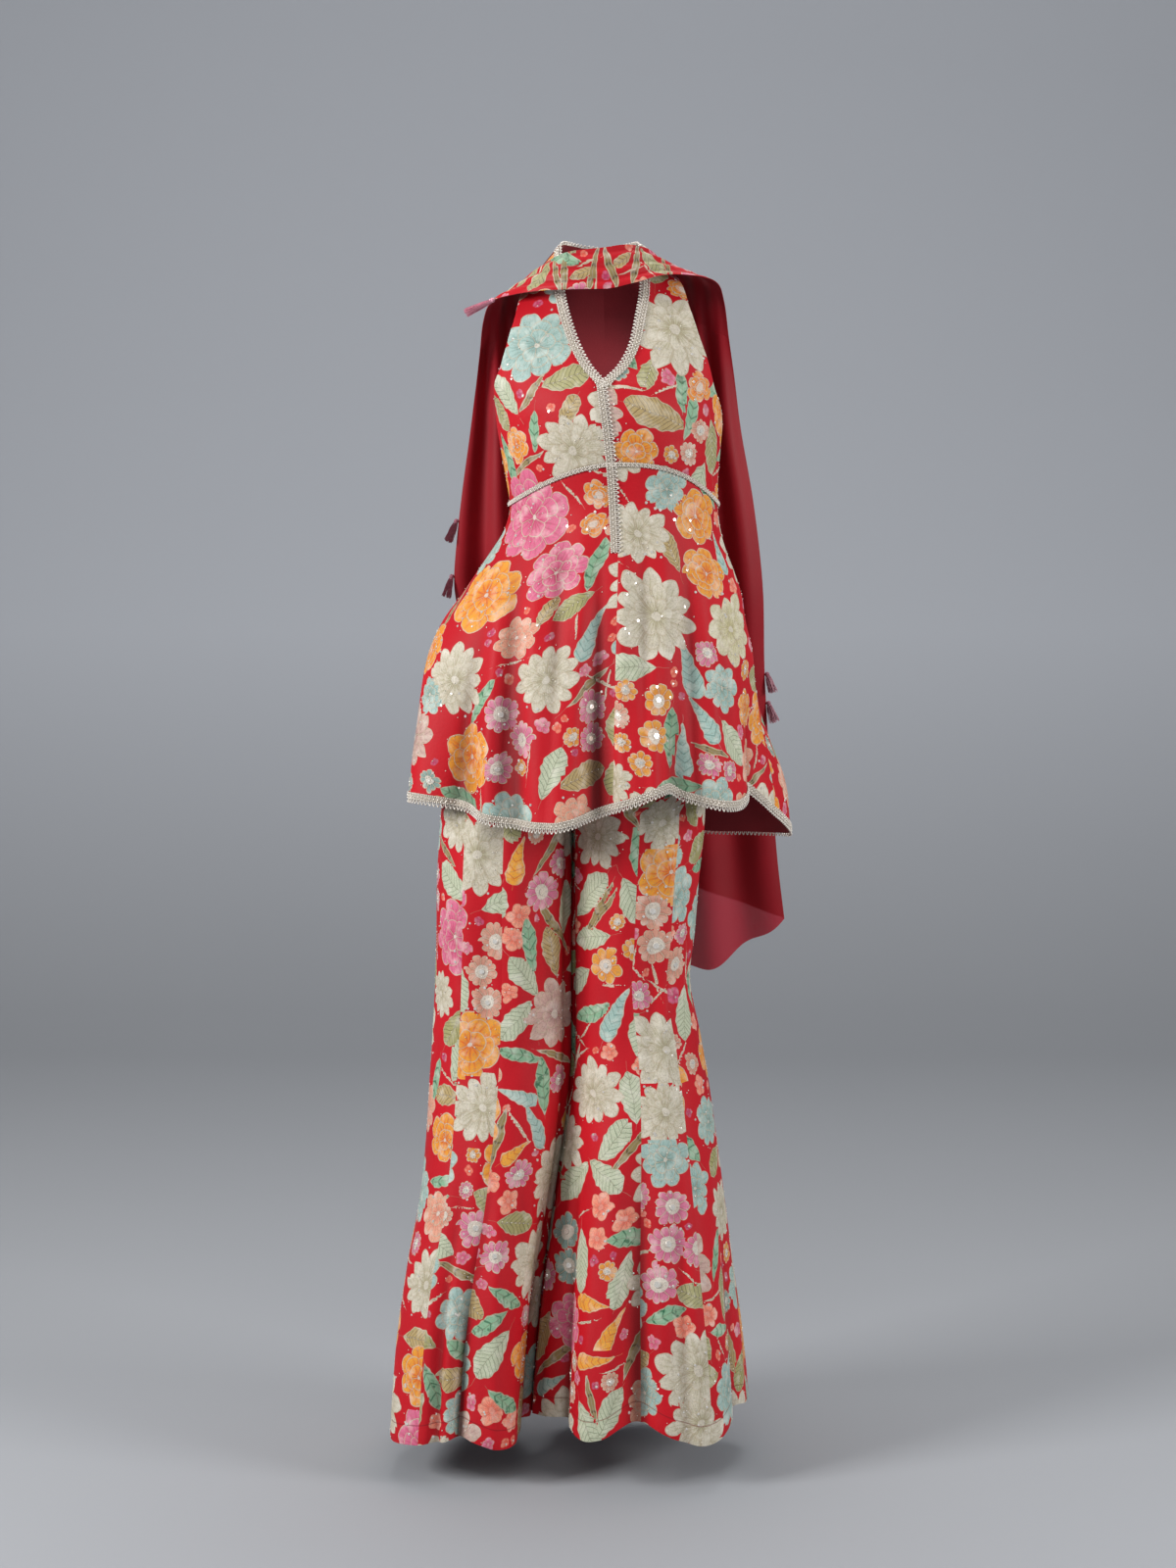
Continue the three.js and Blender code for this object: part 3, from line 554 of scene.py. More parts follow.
def dupatta_point(share, station):
    """A point of the dupatta: share runs from the outer edge to the inner, which is the upper in front."""
    away = station - FRONT_STATION
    wave = shawl["deep"](station) * np.sin(GATHERS * TURN * share + away * GATHER_SHIFT)
    front = math.exp(-((away / NECK_REACH) ** 2))
    faded = ease((abs(away) - LEAN_FADES_FROM) / LEAN_FADES_OVER)
    lean = math.copysign(LEAN, away) * ease(abs(away) / LEAN_GROWS) * (1 - faded)
    push = np.array([lean, mix(1, -1, front), mix(RISE_FRONT, RISE_ENDS, abs(away) / FRONT_STATION)])
    push /= np.linalg.norm(push)
    edges = [np.array([shawl[edge + axis](station) for axis in "XYZ"]) for edge in ("out", "in")]
    at = edges[0] + (edges[1] - edges[0]) * share[:, None] + push * wave[:, None]
    at[:, 2] -= shawl["sag"](station) * np.sin(math.pi * share)
    return at


def dupatta_stretch(name):
    """One stretch of the dupatta: u across it, v along it."""
    first, last = DUPATTA_PIECES[name]
    return lambda u, v: dupatta_point(u, mix(first, last, v))


# Small creases: lines on the front or the back, each with its width and how far it pushes the cloth out

CREASE_COLUMNS = "x0 z0 x1 z1 wide deep"
CREASES = {
    FRONT: table(
        CREASE_COLUMNS,
        [-112, -232, -62, -196, 7, -1.6],
        [-116, -262, -58, -232, 8, 1.8],
        [134, -226, 84, -196, 7, -1.6],
        [138, -262, 78, -238, 8, 1.8],
        [-40, -290, -72, -820, 10, -7],
        [-17, -290, -34, -820, 8, 5],
        [-70, -300, -98, -820, 9, 4.5],
        [-92, -310, -130, -820, 10, -6],
        [-112, -330, -160, -820, 9, 5],
        [3, -290, -6, -820, 8, -5],
        [30, -290, 26, -820, 8, 5],
        [54, -300, 60, -820, 9, -5.5],
        [80, -300, 94, -820, 9, 5],
        [102, -310, 130, -820, 9, -6],
        [124, -340, 168, -820, 9, 5],
        [-140, -420, -196, -820, 9, -5],
        [142, -400, 196, -820, 9, -5],
        [-170, -720, -188, -1010, 16, 4],
        [-138, -740, -150, -1120, 13, -5],
        [-104, -730, -96, -1060, 12, 4],
        [-70, -720, -62, -980, 11, -5],
        [-186, -900, -130, -1010, 12, 2.6],
        [-60, -930, -110, -1030, 12, -2.6],
        [30, -720, 22, -1020, 12, 4],
        [62, -730, 66, -1100, 12, -4.6],
        [98, -740, 88, -990, 12, 4],
        [120, -880, 66, -990, 12, 2.6],
        [2, -900, 50, -1010, 11, -2.4],
        [-200, -1120, -230, -1620, 14, 6],
        [-160, -1110, -182, -1620, 12, -7],
        [-124, -1090, -132, -1620, 11, 6],
        [26, -1100, 4, -1620, 12, 6],
        [96, -1080, 116, -1620, 12, -7],
        [136, -1110, 168, -1620, 12, 6],
        [-92, -1060, -104, -1620, 9, -6],
        [58, -1060, 62, -1620, 10, -6],
        [-20, -1120, -44, -1620, 10, -5],
    ),
    BACK: table(
        CREASE_COLUMNS,
        [-108, -236, -56, -206, 8, 1.8],
        [120, -232, 70, -204, 8, -1.8],
        [-92, -312, -122, -470, 9, 3],
        [-52, -314, -66, -480, 8, -3],
        [8, -312, 4, -470, 8, 2.6],
        [66, -312, 88, -480, 8, -3],
        [108, -314, 140, -470, 9, 3],
        [-140, -500, -156, -660, 9, -4],
        [30, -500, 36, -680, 9, 3.6],
        [-164, -720, -180, -1020, 16, 4],
        [-122, -730, -128, -1080, 13, -5],
        [-78, -720, -70, -1020, 12, 4.4],
        [28, -730, 22, -1010, 12, 4.4],
        [66, -730, 70, -1080, 13, -5],
        [102, -740, 94, -1010, 12, 4],
        [-196, -1120, -222, -1440, 15, 4],
        [-138, -1110, -150, -1440, 14, -4],
        [20, -1110, 4, -1430, 13, 4],
        [116, -1110, 134, -1440, 14, -4],
    ),
}
CREASE_TAPER = 3  # a crease fades in over one part in this many of its length, and out again
SEAM_CALM, SEAM_FADE = 6, 40  # creases fade towards the side seams over these distances


def crease(points, face):
    """How far the creases of one face push its cloth straight out, for a grid of points."""
    x, z = points[..., 0], points[..., 2]
    rows = CREASES[face]
    out = np.zeros(x.shape)
    for x0, z0, x1, z1, wide, deep in zip(*(rows[name] for name in CREASE_COLUMNS.split())):
        long = math.hypot(x1 - x0, z1 - z0)
        along = ((x - x0) * (x1 - x0) + (z - z0) * (z1 - z0)) / long**2
        aside = ((x - x0) * (z1 - z0) - (z - z0) * (x1 - x0)) / long
        ends = ease(along * CREASE_TAPER) * ease((1 - along) * CREASE_TAPER)
        out += deep * np.exp(-((aside / wide) ** 2)) * ends
    return out * ease((face * points[..., 1] - SEAM_CALM) / SEAM_FADE)


# Meshes

HEM_SINK = 0.9  # how far a cut edge rolls in
HEM_REACH = 3.0  # and over what distance
ROUGH_STEPS = 25  # points each way that a surface is first measured with
LEAST_COLUMNS, LEAST_ROWS = 6, 4
MARGIN_COLUMNS = 8  # columns of a grid beyond each side of its piece, beside one row above and below
INSIDE = (slice(1, -1), slice(MARGIN_COLUMNS, -MARGIN_COLUMNS))
SHADED_DEPTH = 6  # mm that a fold lies in where the painted shade in its hollow is darkest
SHARP_FROM = 50  # degrees between two faces that keep a crisp edge


def grid(surface):
    """The points of a surface, rows down and columns across, about a cell apart, with a margin all round."""
    few = np.linspace(0, 1, ROUGH_STEPS)
    rough = np.stack([surface(few, v) for v in few])
    wide = max(int(np.linalg.norm(np.diff(rough, axis=1), axis=2).sum(1).max() / CELL), LEAST_COLUMNS)
    long = max(int(np.linalg.norm(np.diff(rough, axis=0), axis=2).sum(0).max() / CELL), LEAST_ROWS)
    us = np.arange(-MARGIN_COLUMNS, wide + MARGIN_COLUMNS + 1) / wide
    return np.stack([surface(us, v) for v in np.arange(-1, long + 2) / long])


def with_margin(points):
    """A grid of points with a margin carried straight on."""
    rows = np.concatenate([2 * points[:1] - points[1:2], points, 2 * points[-1:] - points[-2:-1]])
    steps = np.arange(1, MARGIN_COLUMNS + 1)[:, None]
    before = rows[:, :1] + (rows[:, :1] - rows[:, 1:2]) * steps[::-1]
    after = rows[:, -1:] + (rows[:, -1:] - rows[:, -2:-1]) * steps
    return np.concatenate([before, rows, after], 1)


class Cloth:
    """The fine grid of one sewn piece: points, the direction out of the cloth, and its flat pattern."""

    def __init__(
        self, name, points, outside, face=None, thick=CLOTH, closed=False, level=True, sink=HEM_SINK
    ):
        self.name, self.thick, self.closed, self.level, self.sink = name, thick, closed, level, sink
        if face is not None:
            points = points + crease(points, face)[..., None] * np.array([0, face, 0])
        across, down = np.gradient(points, axis=1), np.gradient(points, axis=0)
        normals = np.cross(across, down)
        normals /= np.linalg.norm(normals, axis=2, keepdims=True) + 1e-9
        middle = normals[normals.shape[0] // 2, normals.shape[1] // 2]
        self.facing = math.copysign(1, float(middle @ np.array(outside, float)))
        self.points, self.normals = points[INSIDE], normals[INSIDE] * self.facing
        self.rows, self.columns = self.points.shape[0] - 1, self.points.shape[1] - 1
        self.flat = self.pattern()
        # How deep each point lies in the hollow of a fold, which sets the painted shade there
        weights = np.hanning(2 * MARGIN_COLUMNS + 3)[1:-1]
        inner_rows = points[1:-1]
        mean = sum(w * inner_rows[:, k : k + self.columns + 1] for k, w in enumerate(weights)) / weights.sum()
        self.painted_fold_shade = np.clip(((mean - self.points) * self.normals).sum(-1) / SHADED_DEPTH, 0, 1)

    def pattern(self):
        """Each point's place on the flat cloth, in mm: across from the grain line, down, up from the hem."""
        sides = np.diff(self.points, axis=1)
        step = np.linalg.norm(sides[..., :2] if self.level else sides, axis=2)
        across = np.concatenate([np.zeros((self.rows + 1, 1)), step.cumsum(1)], 1)
        middle = self.columns // 2
        across -= across[:, middle : middle + 1]
        fall = np.linalg.norm(np.diff(self.points[:, middle], axis=0), axis=1)
        down = np.concatenate([[0], fall.cumsum()])[:, None]
        if self.level:
            down = down + self.points[:, middle : middle + 1, 2] - self.points[..., 2]
        else:
            down = np.broadcast_to(down, across.shape)
        return np.stack([across, down, down[-1:] - down], -1)

    def rim_sink(self):
        """How far each point sinks towards its cut edges, so that seams and hems read as soft grooves."""
        wide = np.linalg.norm(np.diff(self.points, axis=1), axis=2).mean()
        long = np.linalg.norm(np.diff(self.points, axis=0), axis=2).mean()
        row, column = np.indices(self.points.shape[:2])
        to_row = np.minimum(row, self.rows - row) * long
        to_column = np.minimum(column, self.columns - column) * wide
        near = to_row if self.closed else np.minimum(to_row, to_column)
        return self.sink * np.exp(-((near / HEM_REACH) ** 2))

    def cut(self):
        """The flat piece: its greatest width and length and its area, in metres."""
        across, down = np.diff(self.points, axis=1), np.diff(self.points, axis=0)
        area = np.linalg.norm(np.cross(across[:-1], down[:, :-1]), axis=2).sum()
        wide = np.linalg.norm(across, axis=2).sum(1).max()
        long = np.linalg.norm(down, axis=2).sum(0).max()
        return wide * MM, long * MM, area * MM**2

    def faces(self):
        """Corner numbers of the outer cells, the inner cells and the rims, each facing out."""
        rows, columns = self.rows, self.columns
        wide = columns if self.closed else columns + 1
        layer = wide * (rows + 1)

        def cells(*corners):
            """Cells from the places of their corners: across, down and 1 on the inner side."""
            return np.stack([inner * layer + j * wide + i % wide for i, j, inner in corners], 1)

        j, i = (a.ravel() for a in np.indices((rows, columns)))
        outer = cells((i, j, 0), (i + 1, j, 0), (i + 1, j + 1, 0), (i, j + 1, 0))
        inner = cells((i, j, 1), (i, j + 1, 1), (i + 1, j + 1, 1), (i + 1, j, 1))
        i, j = np.arange(columns), np.arange(rows)
        rims = [
            cells((i, 0, 1), (i + 1, 0, 1), (i + 1, 0, 0), (i, 0, 0)),
            cells((i, rows, 0), (i + 1, rows, 0), (i + 1, rows, 1), (i, rows, 1)),
        ]
        if not self.closed:
            rims += [
                cells((0, j, 0), (0, j + 1, 0), (0, j + 1, 1), (0, j, 1)),
                cells((columns, j, 1), (columns, j + 1, 1), (columns, j + 1, 0), (columns, j, 0)),
            ]
        parts = [outer, inner, np.concatenate(rims)]
        return parts if self.facing > 0 else [part[:, ::-1] for part in parts]

    def build(self, outer_material, inner_material):
        """The closed shell as an object, with its flat pattern as an attribute."""
        wide = slice(0, self.columns) if self.closed else slice(None)
        outer = (self.points - self.normals * self.rim_sink()[..., None])[:, wide].reshape(-1, 3)
        inner = (self.points - self.normals * self.thick)[:, wide].reshape(-1, 3)
        outer_cells, inner_cells, rims = self.faces()
        cells = np.concatenate([outer_cells, inner_cells, rims])
        obj = mesh_object(self.name, np.concatenate([outer, inner]), cells)
        mesh = obj.data
        mesh.materials.append(outer_material)
        mesh.materials.append(inner_material)
        kinds = np.zeros(len(cells), np.int32)
        kinds[len(outer_cells) :] = 1
        mesh.polygons.foreach_set("material_index", kinds)
        flat = np.zeros((len(mesh.vertices), 3), np.float32)
        half = len(outer)
        flat[:half] = flat[half:] = self.flat[:, wide].reshape(-1, 3)
        mesh.attributes.new("flat", "FLOAT_VECTOR", "POINT").data.foreach_set("vector", flat.ravel())
        # The depth of the folds' hollows, which the materials turn into painted shade
        painted_fold_shade = np.zeros(len(mesh.vertices), np.float32)
        painted_fold_shade[:half] = self.painted_fold_shade[:, wide].ravel()
        mesh.attributes.new("painted_fold_shade", "FLOAT", "POINT").data.foreach_set("value", painted_fold_shade)
        self.cell_flat = flat[outer_cells, :2].mean(1)
        self.obj = obj
        return obj


def mesh_object(name, points, cells):
    """A smooth object from points in millimetres and lists of corners."""
    mesh = bpy.data.meshes.new(name)
    mesh.from_pydata((np.asarray(points) * MM).tolist(), [], [list(map(int, cell)) for cell in cells])
    mesh.polygons.foreach_set("use_smooth", np.full(len(mesh.polygons), True))
    mesh.set_sharp_from_angle(angle=math.radians(SHARP_FROM))
    obj = bpy.data.objects.new(name, mesh)
    bpy.context.scene.collection.objects.link(obj)
    return obj


# Colours and shader sums


def colour(code):
    """A linear colour from its usual written form."""
    parts = [int(code[k : k + 2], 16) / 255 for k in (1, 3, 5)]
    return [p / 12.92 if p <= 0.04045 else ((p + 0.055) / 1.055) ** 2.4 for p in parts] + [1]


class Value:
    """A socket that takes part in sums: each operator adds its Math node."""

    def __init__(self, paint, socket):
        self.paint, self.socket = paint, socket

    def math(self, operation, *others, clamp=False):
        """The result of a Math node on this value and others."""
        settings = {"operation": operation, "use_clamp": clamp}
        return Value(self.paint, self.paint.add("ShaderNodeMath", settings, self, *others).outputs[0])

    def __add__(self, other):
        return self.math("ADD", other)

    __radd__ = __add__

    def __sub__(self, other):
        return self.math("SUBTRACT", other)

    def __rsub__(self, other):
        return (self * -1) + other

    def __mul__(self, other):
        return self.math("MULTIPLY", other)

    __rmul__ = __mul__

    def __truediv__(self, other):
        return self.math("DIVIDE", other)

    def __pow__(self, other):
        return self.math("POWER", other)

    def clamped(self):
        """Kept between 0 and 1."""
        return self.math("ADD", 0, clamp=True)


class Paint:
    """A material under construction."""

    def __init__(self, name):
        self.material = bpy.data.materials.new(name)
        self.material.use_nodes = True
        self.tree = self.material.node_tree
        self.tree.nodes.clear()

    def add(self, kind, settings=None, *inputs, **named):
        """Adds a node: its settings first, then values or links for its sockets."""
        node = self.tree.nodes.new(kind)
        for name, value in (settings or {}).items():
            setattr(node, name, value)
        for key, value in [*enumerate(inputs), *named.items()]:
            socket = node.inputs[key if isinstance(key, int) else key.replace("_", " ")]
            if isinstance(value, Value):
                self.tree.links.new(value.socket, socket)
            elif value is not None:
                socket.default_value = value
        return node

    def split(self, vector):
        """The three numbers of a vector or a colour."""
        parts = self.add("ShaderNodeSeparateXYZ", {}, vector)
        return [Value(self, parts.outputs[k]) for k in range(3)]

    def attribute(self, name, output):
        """An attribute by one of its node's outputs: Fac, Color or Vector."""
        return Value(self, self.add("ShaderNodeAttribute", {"attribute_name": name}).outputs[output])

    def read(self, name):
        """An attribute's three numbers."""
        return self.split(self.attribute(name, "Vector"))

    def blend(self, a, b, share, mode="MIX"):
        """Two colours mixed."""
        node = self.add("ShaderNodeMix", {"data_type": "RGBA", "blend_type": mode}, share)
        for key, value in ((6, a), (7, b)):
            if isinstance(value, Value):
                self.tree.links.new(value.socket, node.inputs[key])
            else:
                node.inputs[key].default_value = value
        return Value(self, node.outputs[2])

    def object_point(self):
        """The place on the object."""
        return Value(self, self.add("ShaderNodeTexCoord").outputs["Object"])

    def noise(self, vector, scale, detail=2.0):
        """A soft random value from 0 to 1."""
        node = self.add("ShaderNodeTexNoise", {}, Vector=vector, Scale=scale, Detail=detail)
        return Value(self, node.outputs["Fac"])

    def bump(self, height, strength, distance):
        """A surface direction tilted by a height, over a distance in metres."""
        node = self.add("ShaderNodeBump", {}, Strength=strength, Distance=distance, Height=height)
        return Value(self, node.outputs["Normal"])

    def finish(self, base, roughness, normal=None, **fixed):
        """The surface's shader and output."""
        inputs = {"Base_Color": base, "Roughness": roughness, "Normal": normal, **fixed}
        shader = self.add("ShaderNodeBsdfPrincipled", {}, **inputs)
        out = self.add("ShaderNodeOutputMaterial")
        self.tree.links.new(shader.outputs[0], out.inputs[0])
        return self.material


# The floral print

GROUND = colour("#C2071A")
GROUND_DEEP = colour("#A80517")
THREAD = colour("#C3B49C")
BEAD_SILVER = colour("#CFC6B8")
GRAIN_TONE = colour("#7E7464")
WASH_TONE = colour("#F4EEE2")
STITCH_TONE = colour("#6E0A14")
# Painted shade: the dark tone laid into the hollows of folds
FOLD_SHADE_TONE = colour("#6B4038")
HAND_DRAWN, WANDER_SCALE = 12.0, 34.0  # mm over which outlines wander, and how finely
STITCHED_UP = 25  # mm from the hem of the sharara to its line of stitching
STITCHED_WIDE, STITCHED_SHARE = 0.8, 0.55
NOT_ZERO = 0.01  # mm added to a size that is divided by

# Drawn lines and outlines, in mm
LINE_GONE = 1.4  # half widths from its middle where a line is gone
EDGE = 0.7  # over which an outline softens, and how far in its thread lies
HEART_EDGE = 0.8
THREAD_WIDE = 0.75  # half width of the thread round a petal
BORDER_WIDE, BORDER_SHARE = 0.55, 0.8  # the thread between petals
GROOVE_BORDER, GROOVE_EDGE, GROOVE_SHARE = 1.5, 1.6, 0.5  # the darker grooves beside the threads

# Petals
SCRAMBLE = (12.99, 0.37, 43.7)  # weights that make a chance number of a petal and its flower's place
NOTCH, NOTCH_SOFTER = 0.28, 0.1  # depth of the notch between petals, and how much less on round ones
NOTCH_ROUNDER = 1.8  # how much blunter round petals are
PETAL_LEAST, PETAL_VARIES = 0.76, 0.24  # length of the shortest petal, and what chance adds
STREAKS, STREAKS_VARY, STREAKS_SHIFT = 9, 4, 6  # waves of tone across half a petal
STREAK_STRONG, STREAK_FROM = 1.6, 0.5
SHADE_TO, SHADE_SHARE, STREAK_TO = 1.15, 0.9, 1.25  # how far out a petal takes its second colour
DOUBLE_BELOW = 0.3  # flowers whose heart is smaller have inner rings
RINGS = ((1.0, 0, 0.0), (0.74, -1, 0.37), (0.46, -3, 0.71))  # size, change in petals and turn of each ring

# Leaves
LEAF_BLUNT, LEAF_TAPER = 0.78, 0.28
BELL_NARROW, BELL_FLARE, BELL_BEND = 0.62, 0.4, 1.4  # a trumpet flower's outline
RIPPLES, RIPPLE_DEEP = 17, 0.045
RIB_WIDE, RIB_TONE, RIB_THREAD = 0.6, 0.7, 0.5
VEIN_SLANT, VEIN_LEAN = 0.9, 0.09
VEIN_SHARP, VEIN_THIN, VEIN_TONE = 6, 4.7, 0.8
SPOT_SCALE, SPOT_SHARP, SPOT_FEW = 95.0, 14, 8.4
RIM_REACH, RIM_FROM, RIM_TONE = 3, 1.3, 0.15  # a leaf is slightly darker towards its edge

# Thread, wear and shade over the whole print
GRAIN_SCALE, GRAIN_SHARP, GRAIN_SHARE = 620.0, 6, 0.38
WASH_SCALE, WASH_SHARP, WASH_SHARE = 60.0, 5, 0.3
PRINT_FOLD_SHADE, CHIFFON_FOLD_SHADE = 0.75, 0.7  # how much darker the painted shade makes the hollows of folds


def line(gap, width):
    """1 on a line where gap is 0, fading over its half width."""
    return (LINE_GONE - gap.math("ABSOLUTE") / width).clamped()


def within(gap, soft=EDGE):
    """1 inside an outline, 0 outside it and soft across it, from how far inside a point lies."""
    return (gap / soft + 0.5).clamped()


def ring(place, radius, share, petals, soft, shift):
    """A ring of petals: mm inside its edge, mm from a petal's border, its streaks and how far out it is."""
    distance, turn, seed = place
    wound = turn * petals / TURN + shift
    petal = wound.math("FLOOR")
    aside = (wound - petal - 0.5).math("ABSOLUTE") * 2
    by_petal, by_place, spread = SCRAMBLE
    chance = ((petal * by_petal + seed * by_place).math("SINE") * spread).math("FRACT").math("ABSOLUTE")
    notch = (NOTCH - soft * NOTCH_SOFTER) * aside ** (soft * NOTCH_ROUNDER + 1.0)
    edge = radius * share * ((1 - notch) * (PETAL_LEAST + chance * PETAL_VARIES))
    border = (1 - aside) * (distance / petals) * math.pi
    waves = (aside * (STREAKS + chance * STREAKS_VARY) + chance * STREAKS_SHIFT).math("SINE")
    streak = (waves * STREAK_STRONG - STREAK_FROM).clamped()
    return edge - distance, border, streak, distance / (edge + NOT_ZERO)


def blooms(paint, flat, layer):
    """A layer of flowers: its mask, colour and thread, from what the faces say of the nearest flower."""
    x, y, angle = paint.read(layer + "_place")
    radius, petals, soft = paint.read(layer + "_form")
    thread, streaks, centre = paint.read(layer + "_trim")
    outer, inner = (paint.attribute(layer + part, "Color") for part in ("_tint", "_shade"))
    across, down = flat[0] - x, flat[1] - y
    distance = (across * across + down * down).math("SQRT")
    turn = down.math("ARCTAN2", across) + angle
    place = (distance, turn, x)
    double = centre.math("LESS_THAN", DOUBLE_BELOW)
    shown = None
    for share, change, shift in RINGS[:1] if layer == "small" else RINGS:
        size = double * share if change else share
        gap, border, streak, out = ring(place, radius, size, petals + change, soft, shift)
        mask = within(gap)
        shade = (SHADE_TO - out).clamped() * SHADE_SHARE
        tone = paint.blend(outer, inner, (shade + streak * streaks * (STREAK_TO - out).clamped()).clamped())
        groove = (line(border, GROOVE_BORDER) + line(gap, GROOVE_EDGE)).clamped() * GROOVE_SHARE
        tone = paint.blend(tone, inner, groove, "MULTIPLY")
        edging = (line(gap - EDGE, THREAD_WIDE) + line(border, BORDER_WIDE) * BORDER_SHARE).clamped() * thread
        tone = paint.blend(tone, THREAD, edging)
        if shown is None:
            shown, colours, threads = mask, tone, edging
        else:
            colours = paint.blend(colours, tone, mask)
            threads = threads * (1 - mask) + edging * mask
    heart = within(radius * centre - distance, HEART_EDGE)
    colours = paint.blend(colours, paint.blend(inner, BEAD_SILVER, thread), heart)
    shown = shown * radius.math("GREATER_THAN", 1)
    return shown, colours, (threads + heart * thread).clamped() * shown


def leaves(paint, flat):
    """The layer of leaves, blades and trumpet flowers: its mask, colour and thread."""
    x, y, angle = paint.read("leaf_place")
    half_long, half_wide, club = paint.read("leaf_form")
    thread, veins, spots = paint.read("leaf_trim")
    body, vein_colour = (paint.attribute(name, "Color") for name in ("leaf_tint", "leaf_shade"))
    across, down = flat[0] - x, flat[1] - y
    c, s = angle.math("COSINE"), angle.math("SINE")
    ahead = across * c + down * s
    along = ahead / (half_long + NOT_ZERO)
    aside = (down * c - across * s).math("ABSOLUTE")
    plain = (1 - along * along).clamped() ** LEAF_BLUNT * (1 - along * LEAF_TAPER)
    flare = BELL_NARROW + (along * BELL_BEND).math("SINE") * BELL_FLARE
    bell = (1 - (along * along * along * along)).clamped() ** 0.5 * flare
    wavy = 1 + (along * RIPPLES + x).math("SINE") * RIPPLE_DEEP
    gap = half_wide * (plain * (1 - club) + bell * club) * wavy - aside
    mask = within(gap) * half_long.math("GREATER_THAN", 1)
    rib = line(aside, RIB_WIDE) * (1 - club)
    slanted = along * half_long + aside * VEIN_SLANT + ahead * VEIN_LEAN
    vein = ((slanted * veins).math("SINE") * VEIN_SHARP - VEIN_THIN).clamped()
    spot = (paint.noise(paint.object_point(), SPOT_SCALE) * SPOT_SHARP - SPOT_FEW).clamped() * spots
    rim = (RIM_FROM - gap / RIM_REACH).clamped() * RIM_TONE
    tone = paint.blend(body, vein_colour, (vein * VEIN_TONE + rib * RIB_TONE + spot + rim).clamped())
    edging = (line(gap - EDGE, EDGE) + rib * RIB_THREAD).clamped() * thread
    return mask, paint.blend(tone, THREAD, edging), edging * mask


def print_on_cloth(paint):
    """The print: red ground, small blossoms, leaves, then the large blooms, with their thread."""
    where = paint.object_point()
    across, down, up = paint.read("flat")
    drift = paint.add("ShaderNodeTexNoise", {}, Vector=where, Scale=WANDER_SCALE, Detail=2.0)
    shifts = [(part - 0.5) * HAND_DRAWN for part in paint.split(Value(paint, drift.outputs["Color"]))]
    flat = across + shifts[0], down + shifts[1], up
    ground = paint.blend(GROUND, GROUND_DEEP, (paint.noise(where, 9.0) * 1.6 - 0.4).clamped())
    covered, tone, threads = blooms(paint, flat, "small")
    shown = paint.blend(ground, tone, covered)
    for mask, tone, edging in (leaves(paint, flat), blooms(paint, flat, "bloom")):
        shown = paint.blend(shown, tone, mask)
        threads = threads * (1 - mask) + edging
        covered = covered + mask - covered * mask
    grain = paint.noise(where, GRAIN_SCALE, 1.0)
    wash = paint.noise(where, WASH_SCALE, 3.0)
    worn = covered * ((grain - 0.5) * GRAIN_SHARP).clamped() * GRAIN_SHARE
    pale = covered * ((wash - 0.5) * WASH_SHARP).clamped() * WASH_SHARE
    stitched = line(flat[2] - STITCHED_UP, STITCHED_WIDE) * STITCHED_SHARE
    for tone, share in ((GRAIN_TONE, worn), (WASH_TONE, pale), (STITCH_TONE, stitched)):
        shown = paint.blend(shown, tone, share)
    # Painted shade: the hollows of folds darkened in the colour itself
    shown = paint.blend(shown, FOLD_SHADE_TONE, paint.attribute("painted_fold_shade", "Fac") * PRINT_FOLD_SHADE, "MULTIPLY")
    return shown, threads, grain, where


def floral_material(name, roughness, weave):
    """Printed cloth with thread work."""
    paint = Paint(name)
    base, threads, grain, where = print_on_cloth(paint)
    crinkle = paint.noise(where, 260.0, 2.0)
    normal = paint.bump(crinkle + grain * 0.6, weave, 0.0006)
    rough = roughness - threads * 0.22 + (grain - 0.5) * 0.1
    return paint.finish(base, rough, normal, Specular_IOR_Level=0.28)


def plain_cloth(name, tone, deep, roughness, scale, strength, **fixed):
    """Unprinted cloth with a soft mottle and a fine weave."""
    paint = Paint(name)
    where = paint.object_point()
    base = paint.blend(colour(tone), colour(deep), (paint.noise(where, 14.0) * 1.5 - 0.3).clamped())
    weave = paint.noise(where, scale, 1.0)
    return paint.finish(base, 0.02 * weave + roughness, paint.bump(weave, strength, 0.0005), **fixed)


SHEER_BELOW, SHEER_AT = -0.842, 0.2  # below this height, at this x, the wearer's left fall is a single layer
SHEER_SLOPE, SHEER_EDGE = -0.35, 0.002  # how its hem slants, and the height over which it softens
THICK_ALPHA, SHEER_ALPHA = 0.985, 0.24  # how solid two layers are, and how much less one is


def chiffon_material(name):
    """Red chiffon: two layers for most of its length, one below a slanting hem, where it is see-through."""
    paint = Paint(name)
    where = paint.object_point()
    x, _, z = paint.split(where)
    single = ((SHEER_BELOW + (x - SHEER_AT) * SHEER_SLOPE - z) / SHEER_EDGE).clamped()
    weave = paint.noise(where, 900.0, 0.0)
    mottle = (paint.noise(where, 7.0) * 1.4 - 0.2).clamped()
    red = paint.blend(colour("#9E061A"), colour("#7A0312"), mottle)
    base = paint.blend(red, colour("#B01830"), single)
    # Painted shade: the hollows of folds darkened in the chiffon's colour itself
    painted_fold_shade = paint.attribute("painted_fold_shade", "Fac") * CHIFFON_FOLD_SHADE
    base = paint.blend(base, colour("#6B3030"), painted_fold_shade, "MULTIPLY")
    fixed = {"Sheen_Weight": 0.04, "Specular_IOR_Level": 0.25}
    alpha = THICK_ALPHA - single * SHEER_ALPHA
    return paint.finish(base, 0.52 + weave * 0.1, paint.bump(weave, 0.2, 0.0004), Alpha=alpha, **fixed)


